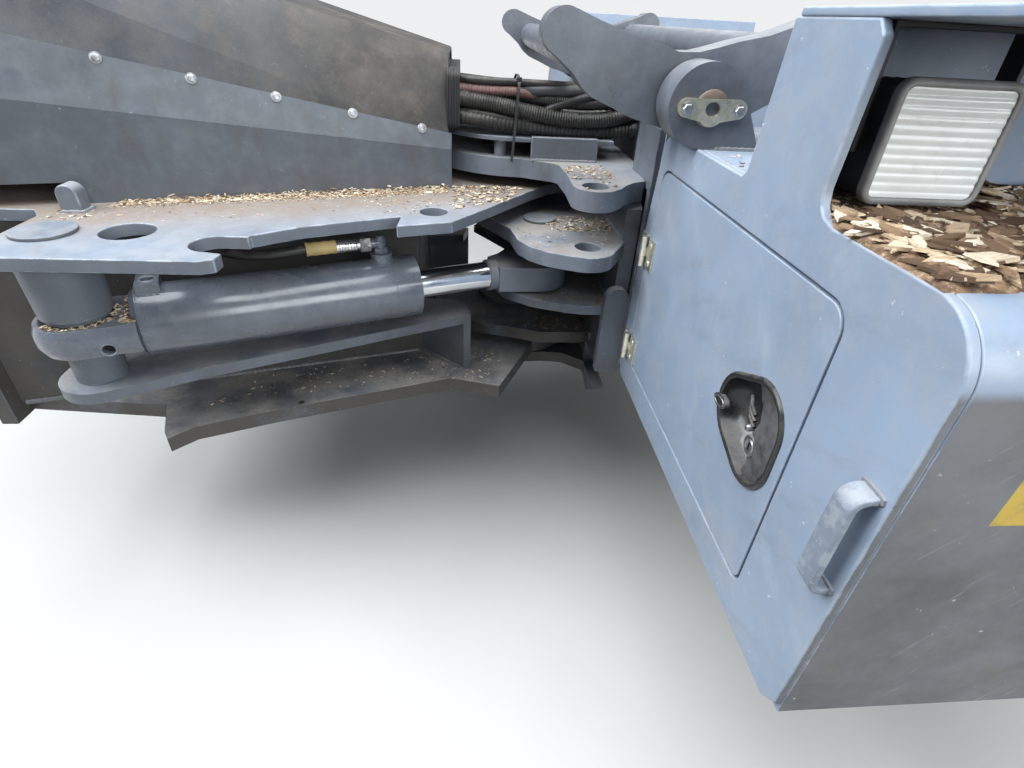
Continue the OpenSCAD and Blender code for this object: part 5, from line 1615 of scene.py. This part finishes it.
def build_all():
    dress_frame()
    build_hoses()
    build_clamp()
    build_tie()
    for body, name in (("front_frame", "front_welds"), ("rear_frame", "rear_welds")):
        on_both_sides(name, lambda bm, side: add_frame_welds(bm, body), "weld", body, "frame_paint")
    for body in CHIP_PATCHES:
        on_both_sides(f"{body}_chips", lambda bm, side: add_frame_chips(bm, side, body), "chips", body,
                      "frame_paint")
    made = {name: on_both_sides(name, *row, **how) for name, *row, how in SIDE_PIECES}
    for side, hose, bowl, housing in zip(SIDES, made["supply_hose"], made["latch_bowl"], made["lamp_shell"]):
        start, end = on_cylinder(SLEEVE_SPAN[1]), on_cylinder(*SUPPLY_ROUTE[-1])
        if side == "far":
            start.y, end.y = -start.y, -end.y
        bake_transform(hose)
        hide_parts(f"{side}_latch")
        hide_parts(f"{side}_lamp_housing", f"{side}_lamp_lens")
    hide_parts("grab_handles")
    build_hood_trim()


# Floor, lights and world
FLOOR_Z = -0.62
FLOOR_HALF = 12


def make_stage():
    bm = bmesh.new()
    bmesh.ops.create_grid(bm, x_segments=2, y_segments=2, size=FLOOR_HALF)
    floor = mesh_object("floor", bm)
    floor.location = (PIVOT_X, 0, FLOOR_Z)
    floor.data.materials.append(floor_finish("pale_floor"))


# Each light's name, place, width and height, power and colour. All face one point
LIGHTS = (
    ("overhead", (0.7, -0.7, 2.6), (3.0, 2.8), 150, (0.95, 0.98, 1.0)),
    ("left", (-2.0, -0.6, 2.3), (2.2, 1.8), 150, (0.93, 0.97, 1.0)),
    ("front", (2.6, -3.3, 1.1), (2.4, 1.3), 78, (0.96, 0.985, 1.0)),
    ("behind", (2.4, 2.2, 1.8), (2.0, 2.0), 20, (1, 1, 1)),
)
LIGHT_TARGET = Vector((1.0, -0.2, 0.1))


def area_light(name, place, size, power, colour):
    data = bpy.data.lights.new(name, "AREA")
    data.shape = "RECTANGLE"
    data.size, data.size_y = size
    data.energy = power
    data.color = colour
    light = new_object(name, data)
    light.location = place
    light.rotation_euler = (LIGHT_TARGET - Vector(place)).to_track_quat("-Z", "Y").to_euler()


def make_lights():
    for light in LIGHTS:
        area_light(*light)
    world = bpy.data.worlds.new("studio")
    bpy.context.scene.world = world
    world.use_nodes = True
    back = world.node_tree.nodes["Background"]
    path = world.node_tree.nodes.new("ShaderNodeLightPath")
    mix = world.node_tree.nodes.new("ShaderNodeMix")
    mix.data_type = "FLOAT"
    mix.inputs[2].default_value = AMBIENT_STRENGTH
    mix.inputs[3].default_value = BACKDROP_STRENGTH
    world.node_tree.links.new(path.outputs["Is Camera Ray"], mix.inputs[0])
    world.node_tree.links.new(mix.outputs[0], back.inputs["Strength"])
    back.inputs["Color"].default_value = (*BACKDROP, 1)
    bpy.context.scene.view_settings.view_transform = "Standard"


make_camera()
build_all()
make_stage()
make_lights()
